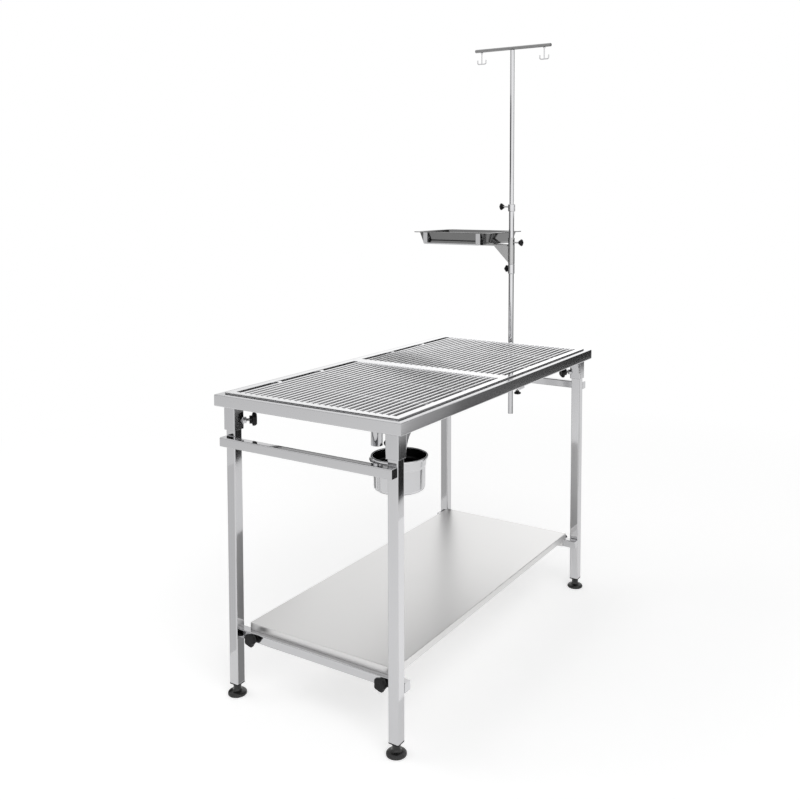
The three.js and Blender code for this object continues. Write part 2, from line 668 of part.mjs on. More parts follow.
function addPot() {
  const bottom = POT_TOP - POT_HEIGHT;
  const bead = POT_RIM_RADIUS;
  const neck = bead - 4;
  const shoulder = POT_TOP - 24;
  const body = bead - 7;
  const t = POT_SHEET;
  const pot = revolve([
    [0, bottom],
    [body - 12, bottom],
    [body - 4.5, bottom + 3],
    [body - 1, bottom + 10],
    [body, shoulder - 3],
    [neck - 1.5, shoulder],
    [neck, POT_TOP - 7],
    [bead - 0.5, POT_TOP - 7],
    [bead, POT_TOP - 4],
    [bead - 1, POT_TOP - 1],
    [bead - 3.5, POT_TOP],
    [neck - t, POT_TOP - 2.5],
    [neck - 1.5 - t, shoulder + 1],
    [body - t, shoulder - 2],
    [body - 1 - t, bottom + 10.5],
    [body - 5.5, bottom + 4],
    [body - 12.5, bottom + t],
    [0, bottom + t],
  ], 24);
  addPiece('drain_pot', pot.translate(POT_X, POT_Y, 0), POLISHED_STEEL);

  const radius = bead - 2 + FORK_WIRE;
  const z = POT_TOP - 7 - GAP - FORK_WIRE;
  const arc = Array.from({ length: 13 }, (unused, i) => (i / 12) * Math.PI);
  const bend = arc.map((turn) => [POT_X + radius * Math.cos(turn), POT_Y + radius * Math.sin(turn), z]);
  const arm = [1 / 2, 1].map((share) => POT_Y - FORK_ARM * share);
  const right = arm.map((y) => [POT_X + radius, y, z]).reverse();
  const left = arm.map((y) => [POT_X - radius, y, z]);
  const fork = wire([...right, ...bend, ...left], FORK_WIRE, 28);

  const strapX = POT_X + POT_RIM_RADIUS - 7;
  const strapY = [POT_Y + 35, POT_Y + 35 + STRAP_WIDTH];
  const strapTop = bearerTop(-BEARER_SPACING) - BEARER_SHEET - GAP;
  const strap = block([strapX, strapX + STRAP_SHEET], strapY, [z - FORK_WIRE, strapTop]);
  const tab = block([strapX - 24, strapX + STRAP_SHEET], strapY, [strapTop - STRAP_SHEET, strapTop]);
  addPiece('pot_hanger', join([fork, strap, tab]), POLISHED_STEEL);
}

// Pole

function addClamp() {
  const railTop = UPPER_RAIL_BOTTOM + RAIL_SIDE;
  const inside = RAIL_OUTSIDE + RAIL_SIDE + GAP;
  const x = [RAIL_OUTSIDE - 2, inside, inside + CLAMP_SHEET];
  const jaw = railTop + GAP;
  const armTop = jaw - CLAMP_THROAT;
  const hook = outline([
    [x[0], jaw],
    [x[1], jaw],
    [x[1], armTop],
    [x[0], armTop],
    [x[0], armTop - CLAMP_SHEET],
    [x[2], armTop - CLAMP_SHEET],
    [x[2], jaw + CLAMP_SHEET],
    [x[0], jaw + CLAMP_SHEET],
  ]);
  const body = uprightPlate(hook, CLAMP_WIDTH);
  const bore = LOWER_TUBE_RADIUS + GAP;
  const socketEnds = [armTop - CLAMP_SHEET, jaw + CLAMP_SHEET + 8];
  const socket = bar(SOCKET_TUBE_RADIUS, ...socketEnds, POLE_SIDES, POLE_X, POLE_Y);
  const poleBore = bar(bore, 0, LOWER_TUBE_TOP, POLE_SIDES, POLE_X, POLE_Y);
  const screwX = RAIL_OUTSIDE + RAIL_SIDE / 2;
  const screwBore = bar(SMALL_KNOB.screw + SCREW_PLAY, armTop - 20, armTop + 5, 12, screwX, CLAMP_SCREW_Y);
  addPiece('pole_clamp', join([body, socket], [poleBore, screwBore]), SATIN_STEEL);

  const padTop = UPPER_RAIL_BOTTOM - GAP;
  const knob = starKnob(SMALL_KNOB, padTop - CLAMP_KNOB_Z - 2).rotateX(Math.PI);
  const pad = bar(8, padTop - 4, padTop, 16, screwX, CLAMP_SCREW_Y);
  const screw = join([knob.translate(screwX, CLAMP_SCREW_Y, CLAMP_KNOB_Z), pad]);
  addPiece('pole_clamp_screw', screw, BLACK_PLASTIC);
}

function addPole() {
  const at = (geometry) => geometry.translate(POLE_X, POLE_Y, 0);
  const lowerBore = LOWER_TUBE_RADIUS - POLE_WALL;
  const upperBore = UPPER_TUBE_RADIUS - POLE_WALL;
  const upperTop = CROSSBAR_Z - CROSSBAR_RADIUS - GAP;
  addPiece('lower_pole', at(roundTube(LOWER_TUBE_RADIUS, lowerBore, LOWER_TUBE_BOTTOM, LOWER_TUBE_TOP)),
    POLISHED_STEEL);
  addPiece('upper_pole', at(roundTube(UPPER_TUBE_RADIUS, upperBore, UPPER_TUBE_BOTTOM, upperTop)),
    POLISHED_STEEL);

  const collarTop = POLE_COLLAR_BOTTOM + POLE_COLLAR_HEIGHT;
  const wide = LOWER_TUBE_RADIUS + GAP;
  const tight = UPPER_TUBE_RADIUS + GAP;
  const collar = revolve([
    [wide, POLE_COLLAR_BOTTOM],
    [POLE_COLLAR_RADIUS - 2, POLE_COLLAR_BOTTOM],
    [POLE_COLLAR_RADIUS, POLE_COLLAR_BOTTOM + 3],
    [POLE_COLLAR_RADIUS, collarTop - 3],
    [POLE_COLLAR_RADIUS - 2, collarTop],
    [tight, collarTop],
    [tight, LOWER_TUBE_TOP + GAP],
    [wide, LOWER_TUBE_TOP + GAP],
    [wide, POLE_COLLAR_BOTTOM],
  ], POLE_SIDES);
  const collarScrewZ = collarTop - 9;
  const up = Math.PI / 2;
  const collarHole = lieAlong(bar(SMALL_KNOB.screw + SCREW_PLAY, 0, 20), up).translate(0, 0, collarScrewZ);
  addPiece('pole_collar', at(join([collar], [collarHole])), SATIN_STEEL);
  addPiece('pole_collar_knob', at(radialKnob(32, UPPER_TUBE_RADIUS, up, collarScrewZ)), BLACK_PLASTIC);

  const bar0 = -CROSSBAR_LENGTH / 2;
  const crossbar = revolve([
    [0, bar0],
    [CROSSBAR_RADIUS - 1.5, bar0],
    [CROSSBAR_RADIUS, bar0 + 1.5],
    [CROSSBAR_RADIUS, -bar0 - 1.5],
    [CROSSBAR_RADIUS - 1.5, -bar0],
    [0, -bar0],
  ], 16);
  addPiece('crossbar', at(crossbar.rotateX(Math.PI / 2).translate(0, 0, CROSSBAR_Z)), POLISHED_STEEL);
  for (const [name, side] of [['drip_hook_left', 1], ['drip_hook_right', -1]]) {
    const y = side * (CROSSBAR_LENGTH / 2 - HOOK_INSET);
    addPiece(name, at(dripHook().translate(0, y, CROSSBAR_Z)), POLISHED_STEEL);
  }
}

/** Anchor-shaped wire hook that hangs below the crossbar's underside. */
function dripHook() {
  const top = -CROSSBAR_RADIUS - GAP;
  const stem = bar(HOOK_WIRE, -HOOK_DROP, top, WIRE_SIDES);
  const half = [
    [0, HOOK_SPREAD, -HOOK_DROP + HOOK_RISE],
    [0, HOOK_SPREAD, -HOOK_DROP + HOOK_RISE * 0.6],
    [0, HOOK_SPREAD * 0.85, -HOOK_DROP + 2],
    [0, HOOK_SPREAD * 0.5, -HOOK_DROP],
  ];
  const other = half.map(([x, y, z]) => [x, -y, z]).reverse();
  return join([stem, wire([...half, [0, 0, -HOOK_DROP], ...other], HOOK_WIRE, 16)]);
}

/** Small knob on a radial screw: `start` is its head's distance, `bearing` the tube's radius. */
function radialKnob(start, bearing, turn, z) {
  const knob = starKnob(SMALL_KNOB, start - bearing - GAP).translate(0, 0, start);
  return lieAlong(knob, turn).translate(0, 0, z);
}

function addTrayArm() {
  const at = (geometry) => geometry.translate(POLE_X, POLE_Y, 0);
  const stopTop = STOP_BOTTOM + STOP_HEIGHT;
  const stopTurn = THREE.MathUtils.degToRad(STOP_KNOB_TURN);
  const stopZ = STOP_BOTTOM + STOP_HEIGHT / 2;
  const slideBore = LOWER_TUBE_RADIUS + GAP;
  const screwBore = SMALL_KNOB.screw + SCREW_PLAY;
  const stop = revolve([
    [slideBore, STOP_BOTTOM],
    [SLEEVE_RADIUS - 1.5, STOP_BOTTOM],
    [SLEEVE_RADIUS, STOP_BOTTOM + 3],
    [SLEEVE_RADIUS, stopTop],
    [slideBore, stopTop],
    [slideBore, STOP_BOTTOM],
  ], POLE_SIDES);
  const stopHole = lieAlong(bar(screwBore, 0, 20), stopTurn).translate(0, 0, stopZ);
  addPiece('stop_collar', at(join([stop], [stopHole])), SATIN_STEEL);
  addPiece('stop_collar_knob', at(radialKnob(STOP_KNOB_START, LOWER_TUBE_RADIUS, stopTurn, stopZ)), BLACK_PLASTIC);

  const turnBore = LOWER_TUBE_RADIUS + 2 * GAP;
  const armTop = TRAY_RIM_Z - TRAY_DEPTH - GAP - CRADLE_BAR_SHEET - GAP;
  const armEnd = TRAY_POLE_GAP + TRAY_Y_SIZE / 2 + CRADLE_SPACING / 2 + CRADLE_BAR_WIDTH / 2;
  const armSpan = [-ARM_WIDTH / 2, ARM_WIDTH / 2];
  const arm = block(armSpan, [SLEEVE_RADIUS - 2, armEnd], [armTop - ARM_HEIGHT, armTop]);
  const sleeve = bar(SLEEVE_RADIUS, BRACKET_SLEEVE_BOTTOM, BRACKET_SLEEVE_TOP, POLE_SIDES);
  const under = armTop - ARM_HEIGHT + BITE;
  const near = SLEEVE_RADIUS - 1;
  const web = outline([
    [near, under],
    [near + BRACKET_GUSSET, under],
    [near, BRACKET_SLEEVE_BOTTOM + 4],
  ]);
  const gusset = uprightPlate(web, GUSSET_SHEET).rotateZ(Math.PI / 2);
  const bracketZ = BRACKET_SLEEVE_TOP - BRACKET_KNOB_DROP;
  const down = -Math.PI / 2;
  const poleBore = bar(turnBore, 0, LOWER_TUBE_TOP, POLE_SIDES);
  const knobHole = lieAlong(bar(screwBore, 0, 20), down).translate(0, 0, bracketZ);
  addPiece('tray_bracket', at(join([sleeve, arm, gusset], [poleBore, knobHole])), SATIN_STEEL);
  const bracketKnob = radialKnob(BRACKET_KNOB_START, LOWER_TUBE_RADIUS, down, bracketZ);
  addPiece('tray_bracket_knob', at(bracketKnob), BLACK_PLASTIC);
  addTray(armTop + GAP);
}

function addTray(cradleBottom) {
  const centreY = POLE_Y + TRAY_POLE_GAP + TRAY_Y_SIZE / 2;
  const at = (geometry) => geometry.translate(POLE_X, centreY, 0);
  const wallX = TRAY_X_SIZE / 2 - TRAY_LIP;
  const postIn = wallX + 1;
  const postOut = postIn + CRADLE_BAR_SHEET;
  const postTop = TRAY_RIM_Z - TRAY_SHEET - GAP;
  const seat = cradleBottom + CRADLE_BAR_SHEET;
  const strap = outline([
    [-postOut, cradleBottom],
    [postOut, cradleBottom],
    [postOut, postTop],
    [postIn, postTop],
    [postIn, seat],
    [-postIn, seat],
    [-postIn, postTop],
    [-postOut, postTop],
  ]);
  const parts = [-1, 1].map((side) =>
    uprightPlate(strap, CRADLE_BAR_WIDTH).translate(0, (side * CRADLE_SPACING) / 2, 0));
  for (const side of [-1, 1]) {
    const rod = bar(CRADLE_ROD, -CRADLE_SPACING / 2, CRADLE_SPACING / 2, 8).rotateX(Math.PI / 2);
    parts.push(rod.translate(side * (postOut - 1), 0, cradleBottom + CRADLE_ROD));
  }
  addPiece('tray_cradle', at(join(parts)), POLISHED_STEEL);

  const ring = (inset, z, radius) => {
    const [w, h] = [TRAY_X_SIZE - 2 * inset, TRAY_Y_SIZE - 2 * inset];
    const path = roundedRectangle(THREE.Path, w, h, radius);
    return path.getPoints(2).slice(0, -1).map((p) => [p.x, p.y, z]);
  };
  const bottom = TRAY_RIM_Z - TRAY_DEPTH;
  const t = TRAY_SHEET;
  const tray = loft([
    ring(TRAY_LIP + 20, bottom + t, 14),
    ring(TRAY_LIP + 13 + t, bottom + t + 2, 20),
    ring(TRAY_LIP + 8 + t, bottom + t + 8, 25),
    ring(TRAY_LIP + t, TRAY_RIM_Z, 32),
    ring(0, TRAY_RIM_Z, TRAY_RIM_CORNER),
    ring(0, TRAY_RIM_Z - t, TRAY_RIM_CORNER),
    ring(TRAY_LIP, TRAY_RIM_Z - t, 32),
    ring(TRAY_LIP + 8, bottom + 8, 25),
    ring(TRAY_LIP + 13, bottom + 2, 20),
    ring(TRAY_LIP + 20, bottom, 14),
  ], false);
  addPiece('instrument_tray', at(tray), POLISHED_STEEL);
}

addRim();
addGrates();
addDrain();
addBearers();
addLegs();
addRails();
addShelf();
addPot();
addClamp();
addPole();
addTrayArm();

// The origin is on the floor, under the middle of the whole assembly.
const extent = new THREE.Box3().setFromObject(table);
const middle = extent.getCenter(new THREE.Vector3());
table.position.set(-middle.x, -middle.y, -extent.min.z);

export default table;
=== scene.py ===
"""Studio picture of a knock-down stainless exam table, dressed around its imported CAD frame.

Round and folded pieces are rebuilt as smooth parametric surfaces in the place of their CAD nodes; flat
pieces keep their CAD mesh. All lengths are metres in the frame of the part.
"""

import json
import logging
import math
from dataclasses import dataclass, field
from enum import Enum

import bmesh
import bpy
import numpy as np
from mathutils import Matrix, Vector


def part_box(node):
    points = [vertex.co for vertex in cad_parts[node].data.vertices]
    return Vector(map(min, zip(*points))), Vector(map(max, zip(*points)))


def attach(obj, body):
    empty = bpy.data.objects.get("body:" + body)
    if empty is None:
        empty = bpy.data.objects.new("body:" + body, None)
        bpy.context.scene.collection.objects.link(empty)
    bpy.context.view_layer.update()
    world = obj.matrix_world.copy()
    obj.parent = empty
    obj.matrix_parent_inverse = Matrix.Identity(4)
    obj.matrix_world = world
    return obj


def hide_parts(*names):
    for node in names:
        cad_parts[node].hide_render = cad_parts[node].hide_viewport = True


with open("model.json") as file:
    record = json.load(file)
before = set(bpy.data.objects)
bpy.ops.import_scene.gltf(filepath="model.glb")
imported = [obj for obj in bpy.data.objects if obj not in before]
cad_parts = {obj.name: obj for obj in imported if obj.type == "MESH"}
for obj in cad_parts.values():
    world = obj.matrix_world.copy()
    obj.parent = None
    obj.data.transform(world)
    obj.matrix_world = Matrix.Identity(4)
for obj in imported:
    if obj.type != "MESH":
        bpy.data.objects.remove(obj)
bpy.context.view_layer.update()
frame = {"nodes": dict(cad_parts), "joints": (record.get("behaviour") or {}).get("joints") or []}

log = logging.getLogger("exam_table")
Array = np.ndarray
MM = 0.001
SHARP_EDGE = math.radians(38)
CORNERS = ("near_left", "near_right", "far_left", "far_right")
ALONG_X, ALONG_Y, UP = np.eye(3)

GAP = 0.3 * MM  # between pieces that touch
CUT_EDGE = 0.4 * MM  # rounding of a cut sheet's edges
SCREW_OVERLAP = 1 * MM  # of a screw into its knob
CORNER_REACH = 0.45  # most of an edge that a rounded corner may take
WIRE_RINGS = 4  # in the dome at a wire's end
WIRE_TIP = 0.05  # size of the dome's last ring, of the wire's own
THREAD_DEPTH = 0.3  # of the pitch
THREAD_ROWS = 4  # in each pitch
MERGE = 0.01 * MM  # below which a kept node's points are one
EDGE_STEPS = 2  # spans of a softened edge
UPRIGHT = 1e-6  # level part of an axis below which it stands upright


def span(node: str) -> tuple[Array, Array]:
    """Returns a CAD node's lowest and highest corners as arrays."""
    low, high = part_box(node)
    return np.array(low), np.array(high)


def node_points(node: str) -> Array:
    """Reads the corner points of a CAD node.

    Args:
        node: the CAD node.

    Returns:
        The points, one per row.
    """
    vertices = frame["nodes"][node].data.vertices
    flat = np.empty(len(vertices) * 3, dtype=np.float32)
    vertices.foreach_get("co", flat)
    return flat.reshape(-1, 3).astype(float)


def joint_of(body: str) -> tuple[Array, Array]:
    """Reads the hinge that carries a body.

    Args:
        body: the body.

    Returns:
        A point on the hinge's axis, and the axis at unit length.
    """
    joint = next(j for j in frame["joints"] if j["child"] == body)
    axis = np.array(joint["axis"], dtype=float)
    return np.array(joint["pos_m"], dtype=float), axis / np.linalg.norm(axis)


def plan_centre(node: str) -> Array:
    """Returns the middle of a CAD node's box, on the floor."""
    low, high = span(node)
    return np.array([*((low + high) / 2)[:2], 0.0])


# Surfaces


def fillet(points: Array, radius: float | Array, steps: int = 5, closed: bool = False) -> Array:
    """Rounds the corners of a polyline.

    At each corner B the line leaves its edges at A and C, each one radius from B, and follows the
    quadratic arc (1-t)^2 A + 2t(1-t) B + t^2 C. An arc takes at most CORNER_REACH of an edge.

    Args:
        points: corners, one per row, in two or three dimensions.
        radius: distance from the corner to the arc's ends, one for all or one per corner.
        steps: spans of each arc.
        closed: whether the last corner joins the first.

    Returns:
        The rounded line, one point per row.
    """
    corner = np.asarray(points, dtype=float)
    reach = np.broadcast_to(np.asarray(radius, dtype=float), len(corner))
    t = np.linspace(0.0, 1.0, steps + 1)[:, None]
    rounded = []
    for i, middle in enumerate(corner):
        if reach[i] == 0 or (not closed and i in (0, len(corner) - 1)):
            rounded.append(middle[None])
            continue
        sides = []
        for neighbour in (corner[i - 1], corner[(i + 1) % len(corner)]):
            edge = neighbour - middle
            length = np.linalg.norm(edge)
            sides.append(middle + edge / length * min(reach[i], CORNER_REACH * length))
        rounded.append((1 - t) ** 2 * sides[0] + 2 * t * (1 - t) * middle + t**2 * sides[1])
    return np.concatenate(rounded)


def bent(corners: list[tuple[float, float, float]], steps: int = 5, closed: bool = False) -> Array:
    """Returns a rounded flat line whose corners each give two coordinates and their own radius."""
    table = np.array(corners)
    return fillet(table[:, :2], table[:, 2], steps, closed)


def raised(loop: Array, height: float) -> Array:
    """Returns a flat loop at a height."""
    return np.column_stack([loop, np.full(len(loop), height)])


def even_turns(sides: int) -> Array:
    """Returns the angles of a ring's points."""
    return np.arange(sides) / sides * 2 * math.pi


def ring_points(radius: float, sides: int) -> Array:
    """Returns a circle's points in its plane: radius times cosine and sine of even turns."""
    turn = even_turns(sides)
    return radius * np.stack([np.cos(turn), np.sin(turn)], axis=1)


def rectangle(width: float, height: float, radius: float, steps: int = 6) -> Array:
    """Draws a rounded rectangle about the origin: four quarter circles round inset corners.

    Args:
        width: size along the first direction.
        height: size along the second direction.
        radius: radius of the corners.
        steps: spans of each quarter circle.

    Returns:
        The outline, one point per row.
    """
    a, b = width / 2 - radius, height / 2 - radius
    quarter = np.linspace(0, math.pi / 2, steps + 1)
    loops = []
    for k, (x, y) in enumerate(((a, b), (-a, b), (-a, -b), (a, -b))):
        turn = quarter + k * math.pi / 2
        loops.append(np.stack([x + radius * np.cos(turn), y + radius * np.sin(turn)], axis=1))
    return np.concatenate(loops)


def rings(radius: Array, height: Array) -> Array:
    """Lays rings round Z: radius r at height z and turn a gives r cos a, r sin a, z.

    Args:
        radius: one row per ring and one column per turn.
        height: one per ring.

    Returns:
        Rows of ring points.
    """
    turn = even_turns(radius.shape[1])
    x, y = radius * np.cos(turn), radius * np.sin(turn)
    return np.stack([x, y, np.broadcast_to(height[:, None], x.shape)], axis=-1)


def lathe(profile: Array, sides: int = 48) -> Array:
    """Returns the rings of a profile of radius and height that is turned about Z."""
    radius, height = np.asarray(profile, dtype=float).T
    return rings(np.repeat(radius[:, None], sides, axis=1), height)


def pipe(bore: float, outer: float, ends: tuple[float, float], ease: float, steps: int) -> Array:
    """Turns the closed profile of a round pipe's wall about Z.

    Args:
        bore: inner radius.
        outer: outer radius.
        ends: lower and upper heights.
        ease: rounding of the four edges.
        steps: spans of each rounding.

    Returns:
        Rows of ring points, of which the last joins the first.
    """
    low, high = ends
    profile = [(bore, low), (outer, low), (outer, high), (bore, high)]
    return lathe(fillet(np.array(profile), ease, steps, closed=True))


def round_bar(
    radius: float, ends: tuple[float, float], ease: float, lid: float, steps: int, sides: int
) -> Array:
    """Turns a solid round bar about Z: out from a lid, up the side and back in to a lid.

    Args:
        radius: radius of the bar.
        ends: lower and upper heights.
        ease: rounding of the two edges.
        lid: radius of the flat lids in the middle of the ends.
        steps: spans of each rounding.
        sides: points of each ring.

    Returns:
        Rows of ring points.
    """
    low, high = ends
    profile = [(lid, low), (radius, low), (radius, high), (lid, high)]
    return lathe(fillet(np.array(profile), ease, steps), sides)


def drawn_in(low: Array, high: Array, profile: Array, radii: Array, steps: int) -> Array:
    """Draws a box in along a profile: row i is its rounded outline, less inset i, at height i.

    Args:
        low: lowest corner of the box.
        high: highest corner of the box.
        profile: inset and height of each row.
        radii: corner radius of each row.
        steps: spans of each corner.

    Returns:
        Rows of outline points.
    """
    size, middle = high - low, (low + high) / 2
    rows = []
    for (inset, height), radius in zip(profile, radii):
        loop = rectangle(size[0] - 2 * inset, size[1] - 2 * inset, radius, steps)
        rows.append(raised(loop + middle[:2], height))
    return np.stack(rows)


def corner_loops(low: Array, high: Array, section: Array) -> list[Array]:
    """Lays a section at the four corners of a box in plan.

    A point at inset s lies s inside both faces that meet at a corner, so members that run from one
    corner to the next end in mitres of 45 degrees.

    Args:
        low: lowest corner of the box.
        high: highest corner of the box.
        section: inset and height of each point.

    Returns:
        The section's loop at each corner, in turn round the box.
    """
    inset, height = section.T
    corners = (
        (low[0] + inset, low[1] + inset),
        (high[0] - inset, low[1] + inset),
        (high[0] - inset, high[1] - inset),
        (low[0] + inset, high[1] - inset),
    )
    return [np.stack([x, y, height], axis=1) for x, y in corners]


def frame_along(axis: Array) -> Array:
    """Finds two directions across an axis: the first is level and the second square to both.

    Args:
        axis: the axis, at unit length.

    Returns:
        The two directions and the axis, as rows of a matrix.
    """
    side = np.cross(UP, axis)
    if np.linalg.norm(side) < UPRIGHT:
        side = ALONG_X
    side = side / np.linalg.norm(side)
    return np.stack([side, np.cross(axis, side), axis])


def laid(grid: Array, origin: Array, axis: Array) -> Array:
    """Turns a surface built along +Z to run along an axis from an origin."""
    return grid @ frame_along(np.asarray(axis, dtype=float)) + origin


def sweep(path: Array, section: Array, scale: Array | None = None) -> Array:
    """Carries a flat section along a path without twisting it.

    The section's first direction starts across the path and is carried from point to point by taking
    away its part along the new tangent; row i is path i plus the section in that plane.

    Args:
        path: points, one per row.
        section: points in the plane, one per row.
        scale: size of the section at each path point, 1 where it isn't given.

    Returns:
        Rows of section points.
    """
    path = np.asarray(path, dtype=float)
    tangent = np.gradient(path, axis=0)
    tangent /= np.linalg.norm(tangent, axis=1, keepdims=True)
    side = frame_along(tangent[0])[0]
    sides = []
    for direction in tangent:
        side = side - direction * np.dot(side, direction)
        side = side / np.linalg.norm(side)
        sides.append(side)
    first = np.array(sides)
    second = np.cross(tangent, first)
    size = np.ones(len(path)) if scale is None else np.asarray(scale)
    across = section[None, :, :1] * first[:, None] + section[None, :, 1:] * second[:, None]
    return path[:, None] + across * size[:, None, None]


def round_wire(path: Array, radius: float, sides: int = 16) -> Array:
    """Carries a circle along a path and domes the ends by a quarter circle of shrinking rings.

    Args:
        path: points, one per row.
        radius: radius of the wire.
        sides: points of each ring.

    Returns:
        Rows of ring points.
    """
    t = np.linspace(math.pi / 2, 0, WIRE_RINGS + 1)[:-1]
    lead = path[0] - path[1]
    tail = path[-1] - path[-2]
    lead /= np.linalg.norm(lead)
    tail /= np.linalg.norm(tail)
    start = path[0] + np.sin(t)[:, None] * radius * lead
    finish = (path[-1] + np.sin(t)[:, None] * radius * tail)[::-1]
    shrink = np.maximum(np.cos(t), WIRE_TIP)
    scale = np.concatenate([shrink, np.ones(len(path)), shrink[::-1]])
    return sweep(np.concatenate([start, path, finish]), ring_points(radius, sides), scale)


def thread(radius: float, pitch: float, start: float, end: float, sides: int = 20) -> Array:
    """Turns a screw about Z whose radius falls by a triangle wave.

    The wave has one crest per pitch and follows z / pitch - a / 2 pi, so the crest runs as a helix.

    Args:
        radius: radius of the crests.
        pitch: distance between crests.
        start: lower end.
        end: upper end.
        sides: points of each ring.

    Returns:
        Rows of ring points.
    """
    height = np.arange(start, end, pitch / THREAD_ROWS)
    phase = (height[:, None] / pitch - np.arange(sides) / sides) % 1.0
    return rings(radius - THREAD_DEPTH * pitch * np.abs(2 * phase - 1), height)


def hollow(outer: Array, inner: Array, start: float, end: float) -> Array:
    """Lays the four loops of an open tube along Z: out at both ends, then back inside.

    Args:
        outer: outline of the outside, one point per row.
        inner: outline of the bore, with as many points.
        start: lower end.
        end: upper end.

    Returns:
        Rows of loop points.
    """
    rows = ((outer, start), (outer, end), (inner, end), (inner, start))
    return np.stack([raised(loop, height) for loop, height in rows])


def even_flats(thing: bpy.types.Object) -> None:
    """Lets wide faces set the shading at their edges, so that flats mirror as flats."""
    weighted = thing.modifiers.new("even_flats", "WEIGHTED_NORMAL")
    weighted.keep_sharp = True


class Skin:
    """Closed shells of one piece, gathered as whole arrays of points and faces."""

    def __init__(self) -> None:
        """Starts with no shells."""
        self.points: list[Array] = []
        self.faces: list[list[int]] = []
        self.count = 0

    def shell(self, grid: Array, ring: bool = False) -> "Skin":
        """Adds a surface whose rows are closed loops.

        Args:
            grid: rows by columns by three.
            ring: whether the last row joins the first; otherwise the end rows get flat lids.

        Returns:
            This skin, for the next shell.
        """
        rows, columns = grid.shape[:2]
        index = self.count + np.arange(rows * columns).reshape(rows, columns)
        low = index if ring else index[:-1]
        high = np.roll(index, -1, axis=0) if ring else index[1:]
        quads = np.stack([low, np.roll(low, -1, 1), np.roll(high, -1, 1), high], axis=-1)
        self.faces.extend(quads.reshape(-1, 4).tolist())
        if not ring:
            self.faces.append(index[0][::-1].tolist())
            self.faces.append(index[-1].tolist())
        self.points.append(grid.reshape(-1, 3))
        self.count += rows * columns
        return self

    def plate(self, outline: Array, thickness: Array) -> "Skin":
        """Adds a flat plate: an outline in space and its copy, half the thickness to either side."""
        half = np.asarray(thickness, dtype=float) / 2
        return self.shell(np.stack([outline - half, outline + half]))

    def mesh(self, name: str) -> bpy.types.Object:
        """Makes the mesh object, with outward faces and smooth shading inside sharp edges.

        Args:
            name: the object's name.

        Returns:
            The object, linked to the scene.
        """
        data = bpy.data.meshes.new(name)
        data.from_pydata(np.concatenate(self.points).tolist(), [], self.faces)
        work = bmesh.new()
        work.from_mesh(data)
        bmesh.ops.recalc_face_normals(work, faces=work.faces)
        work.to_mesh(data)
        work.free()
        data.polygons.foreach_set("use_smooth", np.ones(len(data.polygons), dtype=bool))
        data.set_sharp_from_angle(angle=SHARP_EDGE)
        thing = bpy.data.objects.new(name, data)
        bpy.context.collection.objects.link(thing)
        even_flats(thing)
        return thing


# Finishes

Triple = tuple[float, float, float]

# Sockets of a Mix node that blends colours
MIX_FACTOR, MIX_FIRST, MIX_SECOND, MIX_COLOUR = 0, 6, 7, 2


@dataclass
class Socket:
    """A node's output that takes part in sums with numbers and other outputs."""

    graph: "Graph"
    end: bpy.types.NodeSocket

    def _math(self, operation: str, first: object, second: object) -> "Socket":
        """Returns the output of a Math node."""
        return self.graph.add("ShaderNodeMath", {0: first, 1: second}, {"operation": operation})

    def __add__(self, other: object) -> "Socket":
        """Adds."""
        return self._math("ADD", self, other)

    def __radd__(self, other: object) -> "Socket":
        """Adds, the other way round."""
        return self._math("ADD", other, self)

    def __sub__(self, other: object) -> "Socket":
        """Takes away."""
        return self._math("SUBTRACT", self, other)

    def __rsub__(self, other: object) -> "Socket":
        """Takes this from the other."""
        return self._math("SUBTRACT", other, self)

    def __mul__(self, other: object) -> "Socket":
        """Multiplies."""
        return self._math("MULTIPLY", self, other)

    def __rmul__(self, other: object) -> "Socket":
        """Multiplies, the other way round."""
        return self._math("MULTIPLY", other, self)

    def at_most(self, other: object) -> "Socket":
        """Returns the smaller of the two."""
        return self._math("MINIMUM", self, other)

    def at_least(self, other: object) -> "Socket":
        """Returns the larger of the two."""
        return self._math("MAXIMUM", self, other)


class Graph:
    """A node tree that is filled one node at a time."""

    def __init__(self, tree: bpy.types.NodeTree) -> None:
        """Keeps the tree."""
        self.tree = tree

    def add(
        self, kind: str, inputs: dict | None = None, settings: dict | None = None, output: int | str = 0
    ) -> Socket:
        """Adds a node.

        Args:
            kind: the node's type.
            inputs: number or name of an input to a value or another node's output.
            settings: the node's own properties.
            output: number or name of the output to return.

        Returns:
            That output.
        """
        node = self.tree.nodes.new(kind)
        for name, value in (settings or {}).items():
            setattr(node, name, value)
        for key, value in (inputs or {}).items():
            self.feed(node.inputs[key], value)
        return Socket(self, node.outputs[output])

    def feed(self, end: bpy.types.NodeSocket, value: object) -> None:
        """Links an output to an input, or sets the input's value.

        Args:
            end: the input.
            value: another node's output, or a value.
        """
        if isinstance(value, Socket):
            self.tree.links.new(value.end, end)
        else:
            end.default_value = value

    def noise(self, scale: Triple, detail: float, rough: float) -> Socket:
        """Adds noise over object coordinates.

        Args:
            scale: waves per metre along each axis.
            detail: octaves.
            rough: strength of the finer octaves.

        Returns:
            The noise, about 0.5.
        """
        where = self.add("ShaderNodeTexCoord", output="Object")
        stretched = self.add("ShaderNodeMapping", {"Vector": where, "Scale": scale})
        inputs = {"Vector": stretched, "Scale": 1.0, "Detail": detail, "Roughness": rough}
        return self.add("ShaderNodeTexNoise", inputs)

    def blend(self, factor: Socket, first: Triple, second: Triple) -> Socket:
        """Returns a colour between two."""
        ends = {MIX_FACTOR: factor, MIX_FIRST: (*first, 1.0), MIX_SECOND: (*second, 1.0)}
        return self.add("ShaderNodeMix", ends, {"data_type": "RGBA"}, MIX_COLOUR)


